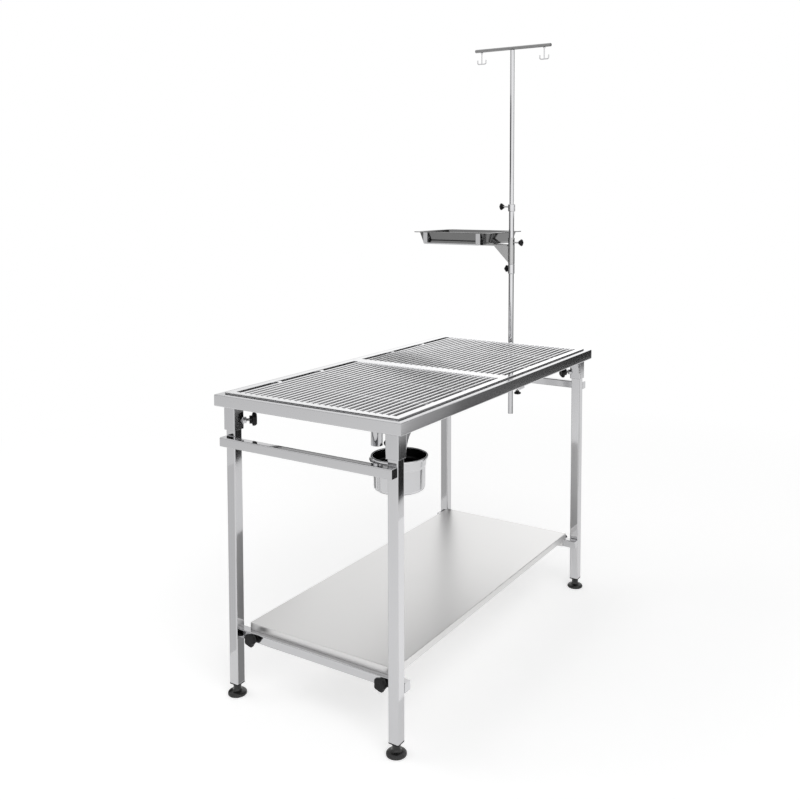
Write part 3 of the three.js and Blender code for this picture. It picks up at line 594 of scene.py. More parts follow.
def blank(name: str) -> tuple[bpy.types.Material, Graph]:
    """Starts a material.

    Args:
        name: the material's name.

    Returns:
        The material and the graph of its nodes.
    """
    material = bpy.data.materials.new(name)
    material.use_nodes = True
    return material, Graph(material.node_tree)


# Noise as its scale per metre, its detail and its roughness; the grains take their scale from Grain
STEEL_GRAIN = (3.0, 0.6)
SMUDGES = ((7.0, 7.0, 7.0), 5.0, 0.62)
CLOUDS = ((2.3, 2.3, 2.3), 2.0, 0.5)
MOULDED_GRAIN = (2.0, 0.5)
DUST = ((28.0, 28.0, 28.0), 4.0, 0.6)

TINT = 0.01  # how far a grey leaves neutral
NOISE_MIDDLE = 0.5
WEAR_SHARES = (0.45, 0.35, 0.2)  # of grain, smudges and clouds in the colour of steel
STEEL_ROUGHNESS = (0.04, 0.9)  # its limits
DUST_START = 0.42  # level of the noise at which dust begins
DUST_RISE = 2.6  # how fast it thickens above that
MOULDED_SPREAD = (0.2, 0.1)  # of dust and grain in the roughness of mouldings


def plain(level: float) -> Triple:
    """Returns a neutral grey."""
    return (level, level, level)


def cool(level: float) -> Triple:
    """Returns a grey with a trace of blue."""
    return (level, level, level + TINT)


def warm(level: float) -> Triple:
    """Returns a grey with a trace of yellow."""
    return (level, level - TINT / 2, level - TINT)


class Grain(Enum):
    """The direction of fine polishing or rolling marks, as noise scales per metre."""

    ALONG_X = (9.0, 1300.0, 1300.0)
    ALONG_Y = (1300.0, 9.0, 1300.0)
    ALONG_Z = (1300.0, 1300.0, 9.0)
    EVEN = (700.0, 700.0, 700.0)


@dataclass(frozen=True)
class SteelFinish:
    """Stainless steel with grain marks and faint smudges."""

    name: str
    slot: str
    light: Triple
    dark: Triple
    roughness: float
    grain: Grain
    grain_depth: float
    smudge: float
    relief: float = 0.05 * MM

    def make(self) -> bpy.types.Material:
        """Makes the material, whose colour, roughness and relief vary with grain and smudges.

        Returns:
            The material.
        """
        material, graph = blank(self.name)
        shader = material.node_tree.nodes["Principled BSDF"]
        grain = graph.noise(self.grain.value, *STEEL_GRAIN)
        smudge = graph.noise(*SMUDGES)
        cloud = graph.noise(*CLOUDS)
        by_grain, by_smudge, by_cloud = WEAR_SHARES
        wear = grain * by_grain + smudge * by_smudge + cloud * by_cloud
        marks = (grain - NOISE_MIDDLE) * self.grain_depth
        rough = self.roughness + marks + (smudge - NOISE_MIDDLE) * self.smudge
        least, most = STEEL_ROUGHNESS
        bump = {"Height": grain, "Strength": self.grain_depth, "Distance": self.relief}
        shader.inputs["Metallic"].default_value = 1.0
        graph.feed(shader.inputs["Base Color"], graph.blend(wear, self.dark, self.light))
        graph.feed(shader.inputs["Roughness"], rough.at_least(least).at_most(most))
        graph.feed(shader.inputs["Normal"], graph.add("ShaderNodeBump", bump))
        return material


@dataclass(frozen=True)
class MouldedFinish:
    """Black moulding with a fine grain and a little dust."""

    name: str
    slot: str
    colour: Triple
    dust: Triple
    roughness: float
    grain_depth: float
    gloss: float = 0.22
    relief: float = 0.08 * MM

    def make(self) -> bpy.types.Material:
        """Makes the material: a fine even grain, and dust in soft patches.

        Returns:
            The material.
        """
        material, graph = blank(self.name)
        shader = material.node_tree.nodes["Principled BSDF"]
        grain = graph.noise(Grain.EVEN.value, *MOULDED_GRAIN)
        patch = graph.noise(*DUST)
        dusty = ((patch - DUST_START) * DUST_RISE).at_least(0.0).at_most(1.0)
        by_dust, by_grain = MOULDED_SPREAD
        rough = self.roughness + (patch - NOISE_MIDDLE) * by_dust + (grain - NOISE_MIDDLE) * by_grain
        bump = {"Height": grain, "Strength": self.grain_depth, "Distance": self.relief}
        shader.inputs["Specular IOR Level"].default_value = self.gloss
        graph.feed(shader.inputs["Base Color"], graph.blend(dusty, self.colour, self.dust))
        graph.feed(shader.inputs["Roughness"], rough)
        graph.feed(shader.inputs["Normal"], graph.add("ShaderNodeBump", bump))
        return material


class Finish(Enum):
    """Every finish on the table.

    Steel gives its name, slot, light and dark colours, roughness, grain, and the depths of grain and
    smudges; a moulding its name, slot, colour, dust, roughness, depth of grain and gloss.
    """

    RIM_ALONG = SteelFinish(
        "satin_rim_long", "satin_steel", cool(0.61), cool(0.54), 0.11, Grain.ALONG_X, 0.03, 0.05
    )
    RIM_ACROSS = SteelFinish(
        "satin_rim_short", "satin_steel", cool(0.61), cool(0.54), 0.11, Grain.ALONG_Y, 0.03, 0.05
    )
    SATIN = SteelFinish(
        "satin_steel", "satin_steel", cool(0.58), cool(0.50), 0.11, Grain.ALONG_Z, 0.03, 0.06
    )
    POLISHED_Y = SteelFinish(
        "polished_cross", "polished_steel", cool(0.57), cool(0.50), 0.07, Grain.ALONG_Y, 0.03, 0.04
    )
    POLISHED_Z = SteelFinish(
        "polished_upright", "polished_steel", cool(0.59), cool(0.52), 0.07, Grain.ALONG_Z, 0.03, 0.04
    )
    PRESSED = SteelFinish(
        "pressed_steel", "polished_steel", cool(0.62), cool(0.55), 0.15, Grain.EVEN, 0.02, 0.05
    )
    # The pot's inner face: steel painted near black, as painted shade inside the pot
    LINING_PAINTED_SHADE = SteelFinish(
        "pressed_inside_painted_shade", "polished_steel", plain(0.02), plain(0.015), 0.3, Grain.EVEN, 0.04, 0.08
    )
    # Pressed steel painted dark, as painted shade for the dark surroundings that the tray mirrors
    DISHED_PAINTED_SHADE = SteelFinish(
        "pressed_dish_painted_shade", "polished_steel", plain(0.20), plain(0.13), 0.09, Grain.EVEN, 0.02, 0.05
    )
    # Satin painted darker than the rest, as painted shade on the tray bracket
    ARM_PAINTED_SHADE = SteelFinish(
        "satin_arm_painted_shade", "satin_steel", plain(0.46), plain(0.39), 0.18, Grain.ALONG_Y, 0.05, 0.06
    )
    # Satin painted darker still, as painted shade on the crossbar
    BAR_PAINTED_SHADE = SteelFinish(
        "satin_bar_painted_shade", "satin_steel", plain(0.30), plain(0.24), 0.12, Grain.ALONG_Y, 0.03, 0.05
    )
    # Steel painted brighter than the rest, for painted highlights on the tops of the rods and bars
    GRATE_PAINTED_HIGHLIGHT = SteelFinish(
        "polished_rods_painted_highlight", "polished_steel", cool(0.84), cool(0.80), 0.07, Grain.ALONG_X, 0.02, 0.0
    )
    SHEET = SteelFinish(
        "satin_sheet", "satin_steel", warm(0.74), warm(0.68), 0.36, Grain.ALONG_X, 0.05, 0.06
    )
    MILL = SteelFinish(
        "mill_steel", "mill_steel", plain(0.60), plain(0.53), 0.32, Grain.ALONG_X, 0.07, 0.08
    )
    # Mill steel painted dark, as painted shade under the grates between the rods
    PAN_PAINTED_SHADE = SteelFinish(
        "mill_pan_painted_shade", "mill_steel", plain(0.20), plain(0.14), 0.4, Grain.ALONG_X, 0.07, 0.08
    )
    SCREW = SteelFinish(
        "screw_steel", "polished_steel", plain(0.54), plain(0.44), 0.26, Grain.EVEN, 0.08, 0.08
    )
    KNOB = MouldedFinish(
        "knob_plastic", "black_plastic", (0.008, 0.008, 0.009), (0.016, 0.016, 0.017), 0.36, 0.18
    )
    PLUG = MouldedFinish(
        "plug_plastic", "black_plastic", (0.008, 0.008, 0.009), (0.014, 0.014, 0.015), 0.50, 0.20
    )
    RUBBER = MouldedFinish(
        "foot_rubber", "black_rubber", (0.008, 0.008, 0.008), (0.020, 0.019, 0.018), 0.28, 0.2, 0.5
    )


MATERIALS: dict[Finish, bpy.types.Material] = {}


def material_of(finish: Finish) -> bpy.types.Material:
    """Finds a finish's material, which is made on its first use.

    Args:
        finish: the finish.

    Returns:
        The material.
    """
    if finish not in MATERIALS:
        MATERIALS[finish] = finish.value.make()
    return MATERIALS[finish]


def place(skin: Skin, name: str, body: str, finish: Finish, *stands_for: str) -> None:
    """Makes a piece, dresses it and lets it ride.

    Args:
        skin: the piece's shells.
        name: the piece's name.
        body: the CAD body that carries it.
        finish: its finish.
        stands_for: the CAD nodes that it replaces.
    """
    piece = skin.mesh(name)
    piece.data.materials.append(material_of(finish))
    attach(piece, body)
    if stands_for:
        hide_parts(*stands_for)
    log.info("%s: %d faces on %s", name, len(piece.data.polygons), body)


def dress(node: str, finish: Finish, edge: float = 0.0) -> None:
    """Gives a kept CAD node its finish, and softened edges where a width is given.

    Args:
        node: the CAD node.
        finish: its finish.
        edge: width of the rounded edges.
    """
    thing = frame["nodes"][node]
    thing.data.materials.clear()
    thing.data.materials.append(material_of(finish))
    if edge:
        weld = thing.modifiers.new("weld", "WELD")
        weld.merge_threshold = MERGE
        bevel = thing.modifiers.new("edge", "BEVEL")
        bevel.width = edge
        bevel.segments = EDGE_STEPS
        bevel.limit_method = "ANGLE"
        bevel.angle_limit = SHARP_EDGE
        bevel.use_clamp_overlap = False
        even_flats(thing)
    log.info("%s keeps its CAD shape", node)


# Table top


@dataclass
class TableTop:
    """Folded rim, rod grates, drain pan and its bearers."""

    sheet: float = 2 * MM
    flat: float = 20 * MM
    step: float = 6 * MM
    ledge: float = 24 * MM
    lip: float = 12 * MM
    bend: float = 3 * MM
    inner_bend: float = 1 * MM
    bar_width: float = 20 * MM
    bar_height: float = 8 * MM
    bar_edge: float = 1.2 * MM
    overlap: float = 2 * MM
    rod_radius: float = 4 * MM
    rod_drop: float = 0.8 * MM
    rod_sides: int = 14
    rods: int = 26
    weld_reach: float = 3 * MM
    weld_size: float = 1.5 * MM
    weld_rows: tuple[float, ...] = (0.0, 1 * MM, 2 * MM, 4 * MM, 7 * MM, 12 * MM)  # from the frame
    cross_width: float = 14 * MM
    cross_height: float = 5 * MM
    cross_edge: float = 1 * MM
    cross_bend: float = 5 * MM
    cross_places: tuple[float, ...] = (1 / 3, 2 / 3)  # of the grate's length
    recess_play: float = 27.5 * MM
    low: Array = field(init=False)
    high: Array = field(init=False)

    def __post_init__(self) -> None:
        """Takes the rim's outer box from the frame."""
        near_low, near_high = span("rim_near")
        self.low = np.array([near_low[0], span("rim_right")[0][1], near_low[2]])
        self.high = np.array([span("rim_far")[1][0], span("rim_left")[1][1], near_high[2]])

    def section(self) -> Array:
        """Draws the rim's folded section, with rounded bends.

        Returns:
            Inset and height of each point.
        """
        bottom, top = self.low[2], self.high[2]
        t, seat = self.sheet, top - self.step
        inner, outer = self.inner_bend, self.bend
        corners = [
            (0, bottom, outer),
            (self.lip, bottom, CUT_EDGE),
            (self.lip, bottom + t, CUT_EDGE),
            (t, bottom + t, inner),
            (t, top - t, inner),
            (self.flat - t, top - t, inner),
            (self.flat - t, seat - t, outer),
            (self.flat + self.ledge, seat - t, CUT_EDGE),
            (self.flat + self.ledge, seat, CUT_EDGE),
            (self.flat, seat, inner),
            (self.flat, top, inner),
            (0, top, outer),
        ]
        return bent(corners, steps=4, closed=True)

    def build_rim(self) -> None:
        """Builds each rim member between mitres: the section runs from one corner to the next."""
        loops = corner_loops(self.low, self.high, self.section())
        for k, node in enumerate(("rim_right", "rim_far", "rim_left", "rim_near")):
            rows = np.stack([loops[k], loops[(k + 1) % len(loops)]])
            finish = Finish.RIM_ALONG if node in ("rim_right", "rim_left") else Finish.RIM_ACROSS
            place(Skin().shell(rows), f"{node}_sheet", "table", finish, node)

    def build_grate(self, node: str) -> None:
        """Builds a grate: a ring of flat bar, round rods with weld fillets, and bent cross bars.

        A rod is a lathe whose radius grows by weld_size times exp(-d / weld_reach) at distance d from
        its ends, so it flares where it meets the frame.

        Args:
            node: the CAD node, whose body has the same name.
        """
        low, high = span(node)
        seat = high[2] - self.bar_height / 2
        bar = rectangle(self.bar_width, self.bar_height, self.bar_edge, steps=3)
        loops = corner_loops(low, high, bar + np.array([self.bar_width / 2, seat]))
        skin = Skin().shell(np.stack(loops), ring=True)

        inner_low, inner_high = low + self.bar_width, high - self.bar_width
        length = inner_high[0] - inner_low[0]
        ends = np.array([-self.overlap, *self.weld_rows])
        run = np.concatenate([ends, length - ends[::-1]])
        distance = np.minimum(run, length - run).clip(0)
        radius = self.rod_radius + self.weld_size * np.exp(-distance / self.weld_reach)
        rod = lathe(np.stack([radius, run], axis=1), self.rod_sides)
        rod_z = high[2] - self.rod_drop - self.rod_radius
        pitch = (inner_high[1] - inner_low[1]) / (self.rods + 1)
        for i in range(1, self.rods + 1):
            origin = np.array([inner_low[0], inner_low[1] + i * pitch, rod_z])
            skin.shell(laid(rod, origin, ALONG_X))

        section = rectangle(self.cross_width, self.cross_height, self.cross_edge, steps=2)
        under = rod_z - self.rod_radius - self.cross_height / 2
        right, left = low[1] + self.recess_play, high[1] - self.recess_play
        for share in self.cross_places:
            x = low[0] + (high[0] - low[0]) * share
            line = [
                (x, inner_low[1] - self.overlap, seat),
                (x, right, seat),
                (x, right, under),
                (x, left, under),
                (x, left, seat),
                (x, inner_high[1] + self.overlap, seat),
            ]
            skin.shell(sweep(fillet(np.array(line), self.cross_bend, steps=4), section))
        # The grate's steel is painted brighter, for painted highlights
        place(skin, f"{node}_bars", node, Finish.GRATE_PAINTED_HIGHLIGHT, node)

    def build(self) -> None:
        """Builds the rim and the grates and dresses what lies under them."""
        self.build_rim()
        self.build_grate("grate_near")
        self.build_grate("grate_far")
        # The drain pan is painted dark, as painted shade between the rods
        dress("drain_pan", Finish.PAN_PAINTED_SHADE)
        for node in ("pan_bearer_near", "pan_bearer_middle", "pan_bearer_far"):
            dress(node, Finish.MILL)


# Knobs and screws


@dataclass
class StarKnob:
    """A five-lobed knob on a threaded screw, along the axis of its hinge."""

    depth: float
    neck: float
    neck_length: float
    screw: float
    pitch: float
    lobes: int = 5
    scallop: float = 0.15
    sides: int = 80
    rounding: float = 0.28  # of the depth
    flare: float = 1.5 * MM
    rim: float = 2 * MM
    crown_drop: float = 0.3 * MM
    dimple: float = 0.6 * MM
    lobe_start: float = 0.9  # of the reach

    def build(self, node: str, body: str) -> None:
        """Builds the head and the screw of a knob node.

        The head is a lathe whose radius is cut between the lobes by scallop times
        (1 - cos(lobes x angle)) / 2; the cut fades out towards the round neck and the crown.

        Args:
            node: the CAD node.
            body: the body that turns with it.
        """
        origin, axis = joint_of(body)
        points = node_points(node) - origin
        along = points @ axis
        across = np.linalg.norm(points - along[:, None] * axis, axis=1)
        widest = along[across > self.lobe_start * across.max()]
        if widest.mean() < (along.min() + along.max()) / 2:
            axis, along = -axis, -along
        top, tip = along.max(), along.min()
        start = top - self.depth
        under = start + self.neck_length
        reach = across[along > start].max()
        # Radius, height and share of the cut, from the neck over the rim to the dimple in the crown
        profile = [
            (self.neck, start, 0.0),
            (self.neck, under - self.flare, 0.0),
            (0.94 * reach, under, 0.9),
            (reach, under + self.rim, 1.0),
            (reach, top - 0.24 * self.depth, 1.0),
            (0.80 * reach, top - self.crown_drop, 0.9),
            (0.36 * reach, top, 0.3),
            (0.30 * reach, top - self.dimple, 0.0),
            (0.10 * reach, top - self.dimple, 0.0),
        ]
        smooth = fillet(np.array(profile), self.rounding * self.depth)
        cut = self.scallop * (0.5 - 0.5 * np.cos(self.lobes * even_turns(self.sides)))
        head = rings(smooth[:, :1] * (1 - smooth[:, 2:] * cut), smooth[:, 1])
        place(Skin().shell(laid(head, origin, axis)), f"{node}_head", body, Finish.KNOB, node)
        screw = thread(self.screw, self.pitch, tip, start + SCREW_OVERLAP)
        place(Skin().shell(laid(screw, origin, axis)), f"{node}_thread", body, Finish.SCREW)


LARGE_KNOB = StarKnob(depth=20 * MM, neck=11 * MM, neck_length=8 * MM, screw=4 * MM, pitch=1.25 * MM)
SMALL_KNOB = StarKnob(depth=13 * MM, neck=7 * MM, neck_length=6 * MM, screw=3 * MM, pitch=1 * MM)


# Legs, rails and shelf


@dataclass
class LegFrame:
    """Square tubes, corner sockets, plugs and levelling feet.

    A foot's profile gives the inset from the edge of its disc and the height of each corner, and the
    collar above it the insets of its outside and its bore.
    """

    wall: float = 1.5 * MM
    corner: float = 3.2 * MM
    cap_edge: float = 0.8 * MM
    socket_edge: float = 0.8 * MM
    foot_profile: tuple[tuple[float, float], ...] = (
        (3 * MM, 0.0),
        (0.0, 0.0),
        (0.0, 6 * MM),
        (5 * MM, 9.5 * MM),
        (13 * MM, 12 * MM),
        (15.5 * MM, 16 * MM),
    )
    foot_collar: tuple[float, float] = (15 * MM, 18 * MM)
    foot_bend: float = 2.5 * MM
    foot_sides: int = 56
    foot_screw: float = 5 * MM
    foot_pitch: float = 1.5 * MM
    foot_overlap: float = 4 * MM

    def build_leg(self, node: str) -> None:
        """Builds an open square tube in a node's box: rounded squares out, and back inside.

        Args:
            node: the CAD node.
        """
        low, high = span(node)
        middle, half = (low + high) / 2, (high[2] - low[2]) / 2
        side = high[0] - low[0]
        bore = side - 2 * self.wall
        outer = rectangle(side, side, self.corner)
        inner = rectangle(bore, bore, self.corner - self.wall)
        grid = hollow(outer, inner, -half, half) + middle
        place(Skin().shell(grid, ring=True), f"{node}_tube", "table", Finish.POLISHED_Z, node)

    def build_rail(self, node: str) -> None:
        """Builds a rail: a square tube along Y whose ends are closed by flat caps with eased edges.

        Args:
            node: the CAD node.
        """
        low, high = span(node)
        middle, half = (low + high) / 2, (high[1] - low[1]) / 2
        side, ease = high[2] - low[2], self.cap_edge
        rows = []
        for along, inset in ((-half, ease), (ease - half, 0.0), (half - ease, 0.0), (half, ease)):
            loop = rectangle(side - 2 * inset, side - 2 * inset, self.corner - inset)
            rows.append(raised(loop, along))
        grid = laid(np.stack(rows), middle, ALONG_Y)
        place(Skin().shell(grid), f"{node}_tube", "table", Finish.POLISHED_Y, node)

    def build_foot(self, tag: str) -> None:
        """Builds a levelling foot: a lathe from its disc over the waist to the collar, and its screw.

        Args:
            tag: the foot's corner of the table.
        """
        node = f"foot_{tag}"
        low, high = span(node)
        centre, reach = plan_centre(node), (high[0] - low[0]) / 2
        top = span(f"leg_plug_{tag}")[0][2] - GAP
        collar = [(inset, top) for inset in self.foot_collar]
        profile = [(reach - inset, height) for inset, height in (*self.foot_profile, *collar)]
        moulding = lathe(fillet(np.array(profile), self.foot_bend), self.foot_sides)
        place(Skin().shell(moulding + centre), f"{node}_moulding", node, Finish.RUBBER, node)
        screw = thread(self.foot_screw, self.foot_pitch, top - self.foot_overlap, high[2])
        place(Skin().shell(screw + centre), f"{node}_thread", node, Finish.SCREW)

    def build(self) -> None:
        """Builds the legs, rails and feet, and dresses the sockets and plugs."""
        for tag in CORNERS:
            self.build_leg(f"leg_{tag}")
            self.build_foot(tag)
            dress(f"leg_socket_{tag}", Finish.SATIN, self.socket_edge)
            dress(f"leg_plug_{tag}", Finish.PLUG)
            LARGE_KNOB.build(f"leg_knob_{tag}", f"leg_knob_{tag}")
        for node in ("upper_rail_near", "upper_rail_far", "lower_rail_near", "lower_rail_far"):
            self.build_rail(node)


@dataclass
class Shelf:
    """Folded shelf on the lower rails, with tabs and nuts for its four knobs."""

    sheet: float = 1.5 * MM
    flange: float = 20 * MM
    bend: float = 2.5 * MM
    floor_inset: float = 60 * MM
    tab_width: float = 36 * MM
    tab_sheet: float = 3 * MM
    tab_corner: float = 4 * MM
    nut: tuple[float, float] = (9.5 * MM, 8 * MM)  # radius and depth
    nut_points: int = 48
    hole: float = 4.5 * MM

    def add_sheet(self, skin: Skin) -> None:
        """Adds the folded sheet: its box drawn in from the flange's edge over the bend to the middle.

        Args:
            skin: the shelf's shells.
        """
        low, high = span("shelf")
        t, top, edge = self.sheet, high[2], high[2] - self.flange
        corners = [
            (self.floor_inset, top - t, 0),
            (t, top - t, self.bend - t),
            (t, edge, CUT_EDGE),
            (0, edge, CUT_EDGE),
            (0, top, self.bend),
            (self.floor_inset, top, 0),
        ]
        profile = bent(corners, steps=4)
        skin.shell(drawn_in(low, high, profile, np.full(len(profile), self.bend), steps=4))

    def bored(self, outline: Array) -> tuple[Array, Array]:
        """Returns an outline and the screw hole's edge, each point on the same spoke."""
        spokes = np.arctan2(outline[:, 1], outline[:, 0])
        return outline, self.hole * np.column_stack([np.cos(spokes), np.sin(spokes)])

    def add_tab(self, skin: Skin, tag: str) -> None:
        """Adds a tab behind the lower rail and its weld nut, both bored for the knob's screw.

        Both are drawn about the screw's axis, along Y and up. The nut is a circle whose radius is
        multiplied by cos(30) / cos(a - 30 degrees) over each sixth of a turn a, which gives flats.

        Args:
            skin: the shelf's shells.
            tag: the tab's corner of the table.
        """
        low, high = span("shelf")
        axis_point = joint_of(f"shelf_knob_{tag}")[0]
        near = "near" in tag
        rail_low, rail_high = span("lower_rail_near" if near else "lower_rail_far")
        inward = 1.0 if near else -1.0
        face = (rail_high[0] if near else rail_low[0]) + inward * GAP
        centre = np.array([face, axis_point[1], axis_point[2]])
        top = high[2] - self.sheet / 2
        lift = (top + low[2]) / 2 - axis_point[2]
        tab = rectangle(self.tab_width, top - low[2], self.tab_corner) + np.array([0.0, lift])
        sixth = math.pi / 3
        flat = np.cos(sixth / 2) / np.cos(even_turns(self.nut_points) % sixth - sixth / 2)
        nut = flat[:, None] * ring_points(self.nut[0], self.nut_points)
        for outline, start, depth in ((tab, 0.0, self.tab_sheet), (nut, self.tab_sheet, self.nut[1])):
            outer, inner = self.bored(outline)
            rows = []
            for loop, along in ((outer, 0.0), (outer, depth), (inner, depth), (inner, 0.0)):
                x = np.full(len(loop), inward * (start + along))
                rows.append(centre + np.column_stack([x, loop]))
            skin.shell(np.stack(rows), ring=True)

    def build(self) -> None:
        """Builds the sheet with its tabs, and the knobs."""
        skin = Skin()
        self.add_sheet(skin)
        for tag in CORNERS:
            self.add_tab(skin, tag)
            LARGE_KNOB.build(f"shelf_knob_{tag}", f"shelf_knob_{tag}")
        place(skin, "shelf_sheet", "table", Finish.SHEET, "shelf")


# Drain


@dataclass
class Drain:
    """Spout under the pan, the pot below it and the wire fork that carries the pot."""

    spout_radius: float = 15.5 * MM
    spout_wall: float = 2 * MM
    spout_edge: float = 0.8 * MM
    flange: float = 2 * MM
    pot_sheet: float = 1.2 * MM
    pot_lid: float = 2 * MM
    pot_sides: int = 72
    foot_taper: float = 1 * MM
    foot_bend: float = 10 * MM
    body_inset: float = 3 * MM
    shoulder: float = 24 * MM
    shoulder_drop: float = 3 * MM
    shoulder_bend: float = 3 * MM
    neck_taper: float = 1.5 * MM
    bead: tuple[float, float] = (4 * MM, 7 * MM)  # how far out and down
    bead_bend: float = 3 * MM
    mouth_bend: float = 2 * MM
    crease: float = 0.2 * MM
    bowl_share: float = 0.5  # of the sheet
    lining_share: float = 0.55  # of the sheet, where the lining starts
    wire: float = 3 * MM
    arc_points: int = 41
    arm_points: int = 5
    strap: tuple[float, float] = (20 * MM, 3 * MM)  # width and thickness
    strap_edge: float = 0.8 * MM
    strap_bend: float = 6 * MM
    strap_inset: float = 7 * MM
    strap_offset: float = 35 * MM
    strap_foot: float = 25 * MM

    def build_spout(self) -> None:
        """Builds the spout: a closed profile of tube and flange, turned about its axis."""
        low, high = span("drain_spout")
        outer, wide = self.spout_radius, (high[0] - low[0]) / 2
        inner = outer - self.spout_wall
        profile = [
            (inner, low[2]),
            (outer, low[2]),
            (outer, high[2] - self.flange),
            (wide, high[2] - self.flange),
            (wide, high[2]),
            (inner, high[2]),
        ]
        rounded = fillet(np.array(profile), self.spout_edge, steps=3, closed=True)
        skin = Skin().shell(lathe(rounded) + plan_centre("drain_spout"), ring=True)
        place(skin, "drain_spout_tube", "table", Finish.POLISHED_Z, "drain_spout")

    def pot_line(self, depth: float) -> list[tuple[float, float, float]]:
        """Draws the pot's wall at a depth below its outer face.

        Args:
            depth: distance in from the outer face.

        Returns:
            Radius, height and bend of each corner, from the middle of the floor up to the bead.
        """
        low, high = span("drain_pot")
        out, down = self.bead
        neck, fold = (high[0] - low[0]) / 2 - out - depth, high[2] - self.shoulder
        body = neck - self.body_inset
        return [
            (self.pot_lid, low[2] + depth, 0),
            (body - self.foot_taper, low[2] + depth, self.foot_bend),
            (body, fold - self.shoulder_drop, self.shoulder_bend),
            (neck - self.neck_taper, fold, self.shoulder_bend),
            (neck, high[2] - down, self.crease),
        ]

    def build_pot(self) -> None:
        """Builds the pot: the bright bowl with its bead, and the sheet's inner face in painted shade.
        """
        low, high = span("drain_pot")
        t, bead, top = self.pot_sheet, (high[0] - low[0]) / 2, high[2]
        out, down = self.bead
        rim = [
            (bead, top - down, self.bead_bend),
            (bead, top, self.bead_bend),
            (bead - out - t, top, self.mouth_bend),
            (bead - out - t, top - down, self.crease),
        ]
        bowl = self.pot_line(0.0) + rim + self.pot_line(self.bowl_share * t)[::-1]
        # The inner face gets steel painted near black, as painted shade inside the pot
        lining = self.pot_line(self.lining_share * t) + self.pot_line(t)[::-1]
        for name, corners, finish, nodes in (
            ("drain_pot_bowl", bowl, Finish.PRESSED, ["drain_pot"]),
            ("drain_pot_lining_painted_shade", lining, Finish.LINING_PAINTED_SHADE, []),
        ):
            grid = lathe(bent(corners, steps=6), self.pot_sides) + plan_centre("drain_pot")
            place(Skin().shell(grid), name, "drain_pot", finish, *nodes)

    def build_hanger(self) -> None:
        """Builds the fork: two straight arms joined by a half circle of wire, with a bent strap."""
        low, high = span("drain_pot")
        wire_low, wire_high = span("pot_hanger")
        middle = (low + high) / 2
        radius = (wire_high[0] - wire_low[0]) / 2 - self.wire
        turn = np.linspace(0, math.pi, self.arc_points)
        arc = radius * np.column_stack([np.cos(turn), np.sin(turn)])
        arm = np.linspace(wire_low[1] - middle[1], 0, self.arm_points, endpoint=False)
        right = np.column_stack([np.full(self.arm_points, radius), arm])
        left = np.column_stack([np.full(self.arm_points, -radius), arm])[::-1]
        fork = np.concatenate([right, arc, left]) + middle[:2]
        skin = Skin().shell(round_wire(raised(fork, wire_low[2] + self.wire), self.wire))

        width, sheet = self.strap
        x = middle[0] + (high[0] - low[0]) / 2 - self.strap_inset + sheet / 2
        y = middle[1] + self.strap_offset + width / 2
        top = wire_high[2] - sheet / 2
        line = np.array([(x, y, wire_low[2]), (x, y, top), (x - self.strap_foot, y, top)])
        section = rectangle(sheet, width, self.strap_edge, steps=2)
        skin.shell(sweep(fillet(line, self.strap_bend, steps=6), section))
        place(skin, "pot_hanger_wire", "table", Finish.POLISHED_Z, "pot_hanger")

    def build(self) -> None:
        """Builds the spout, the pot and its fork."""
        self.build_spout()
        self.build_pot()
        self.build_hanger()


# Pole


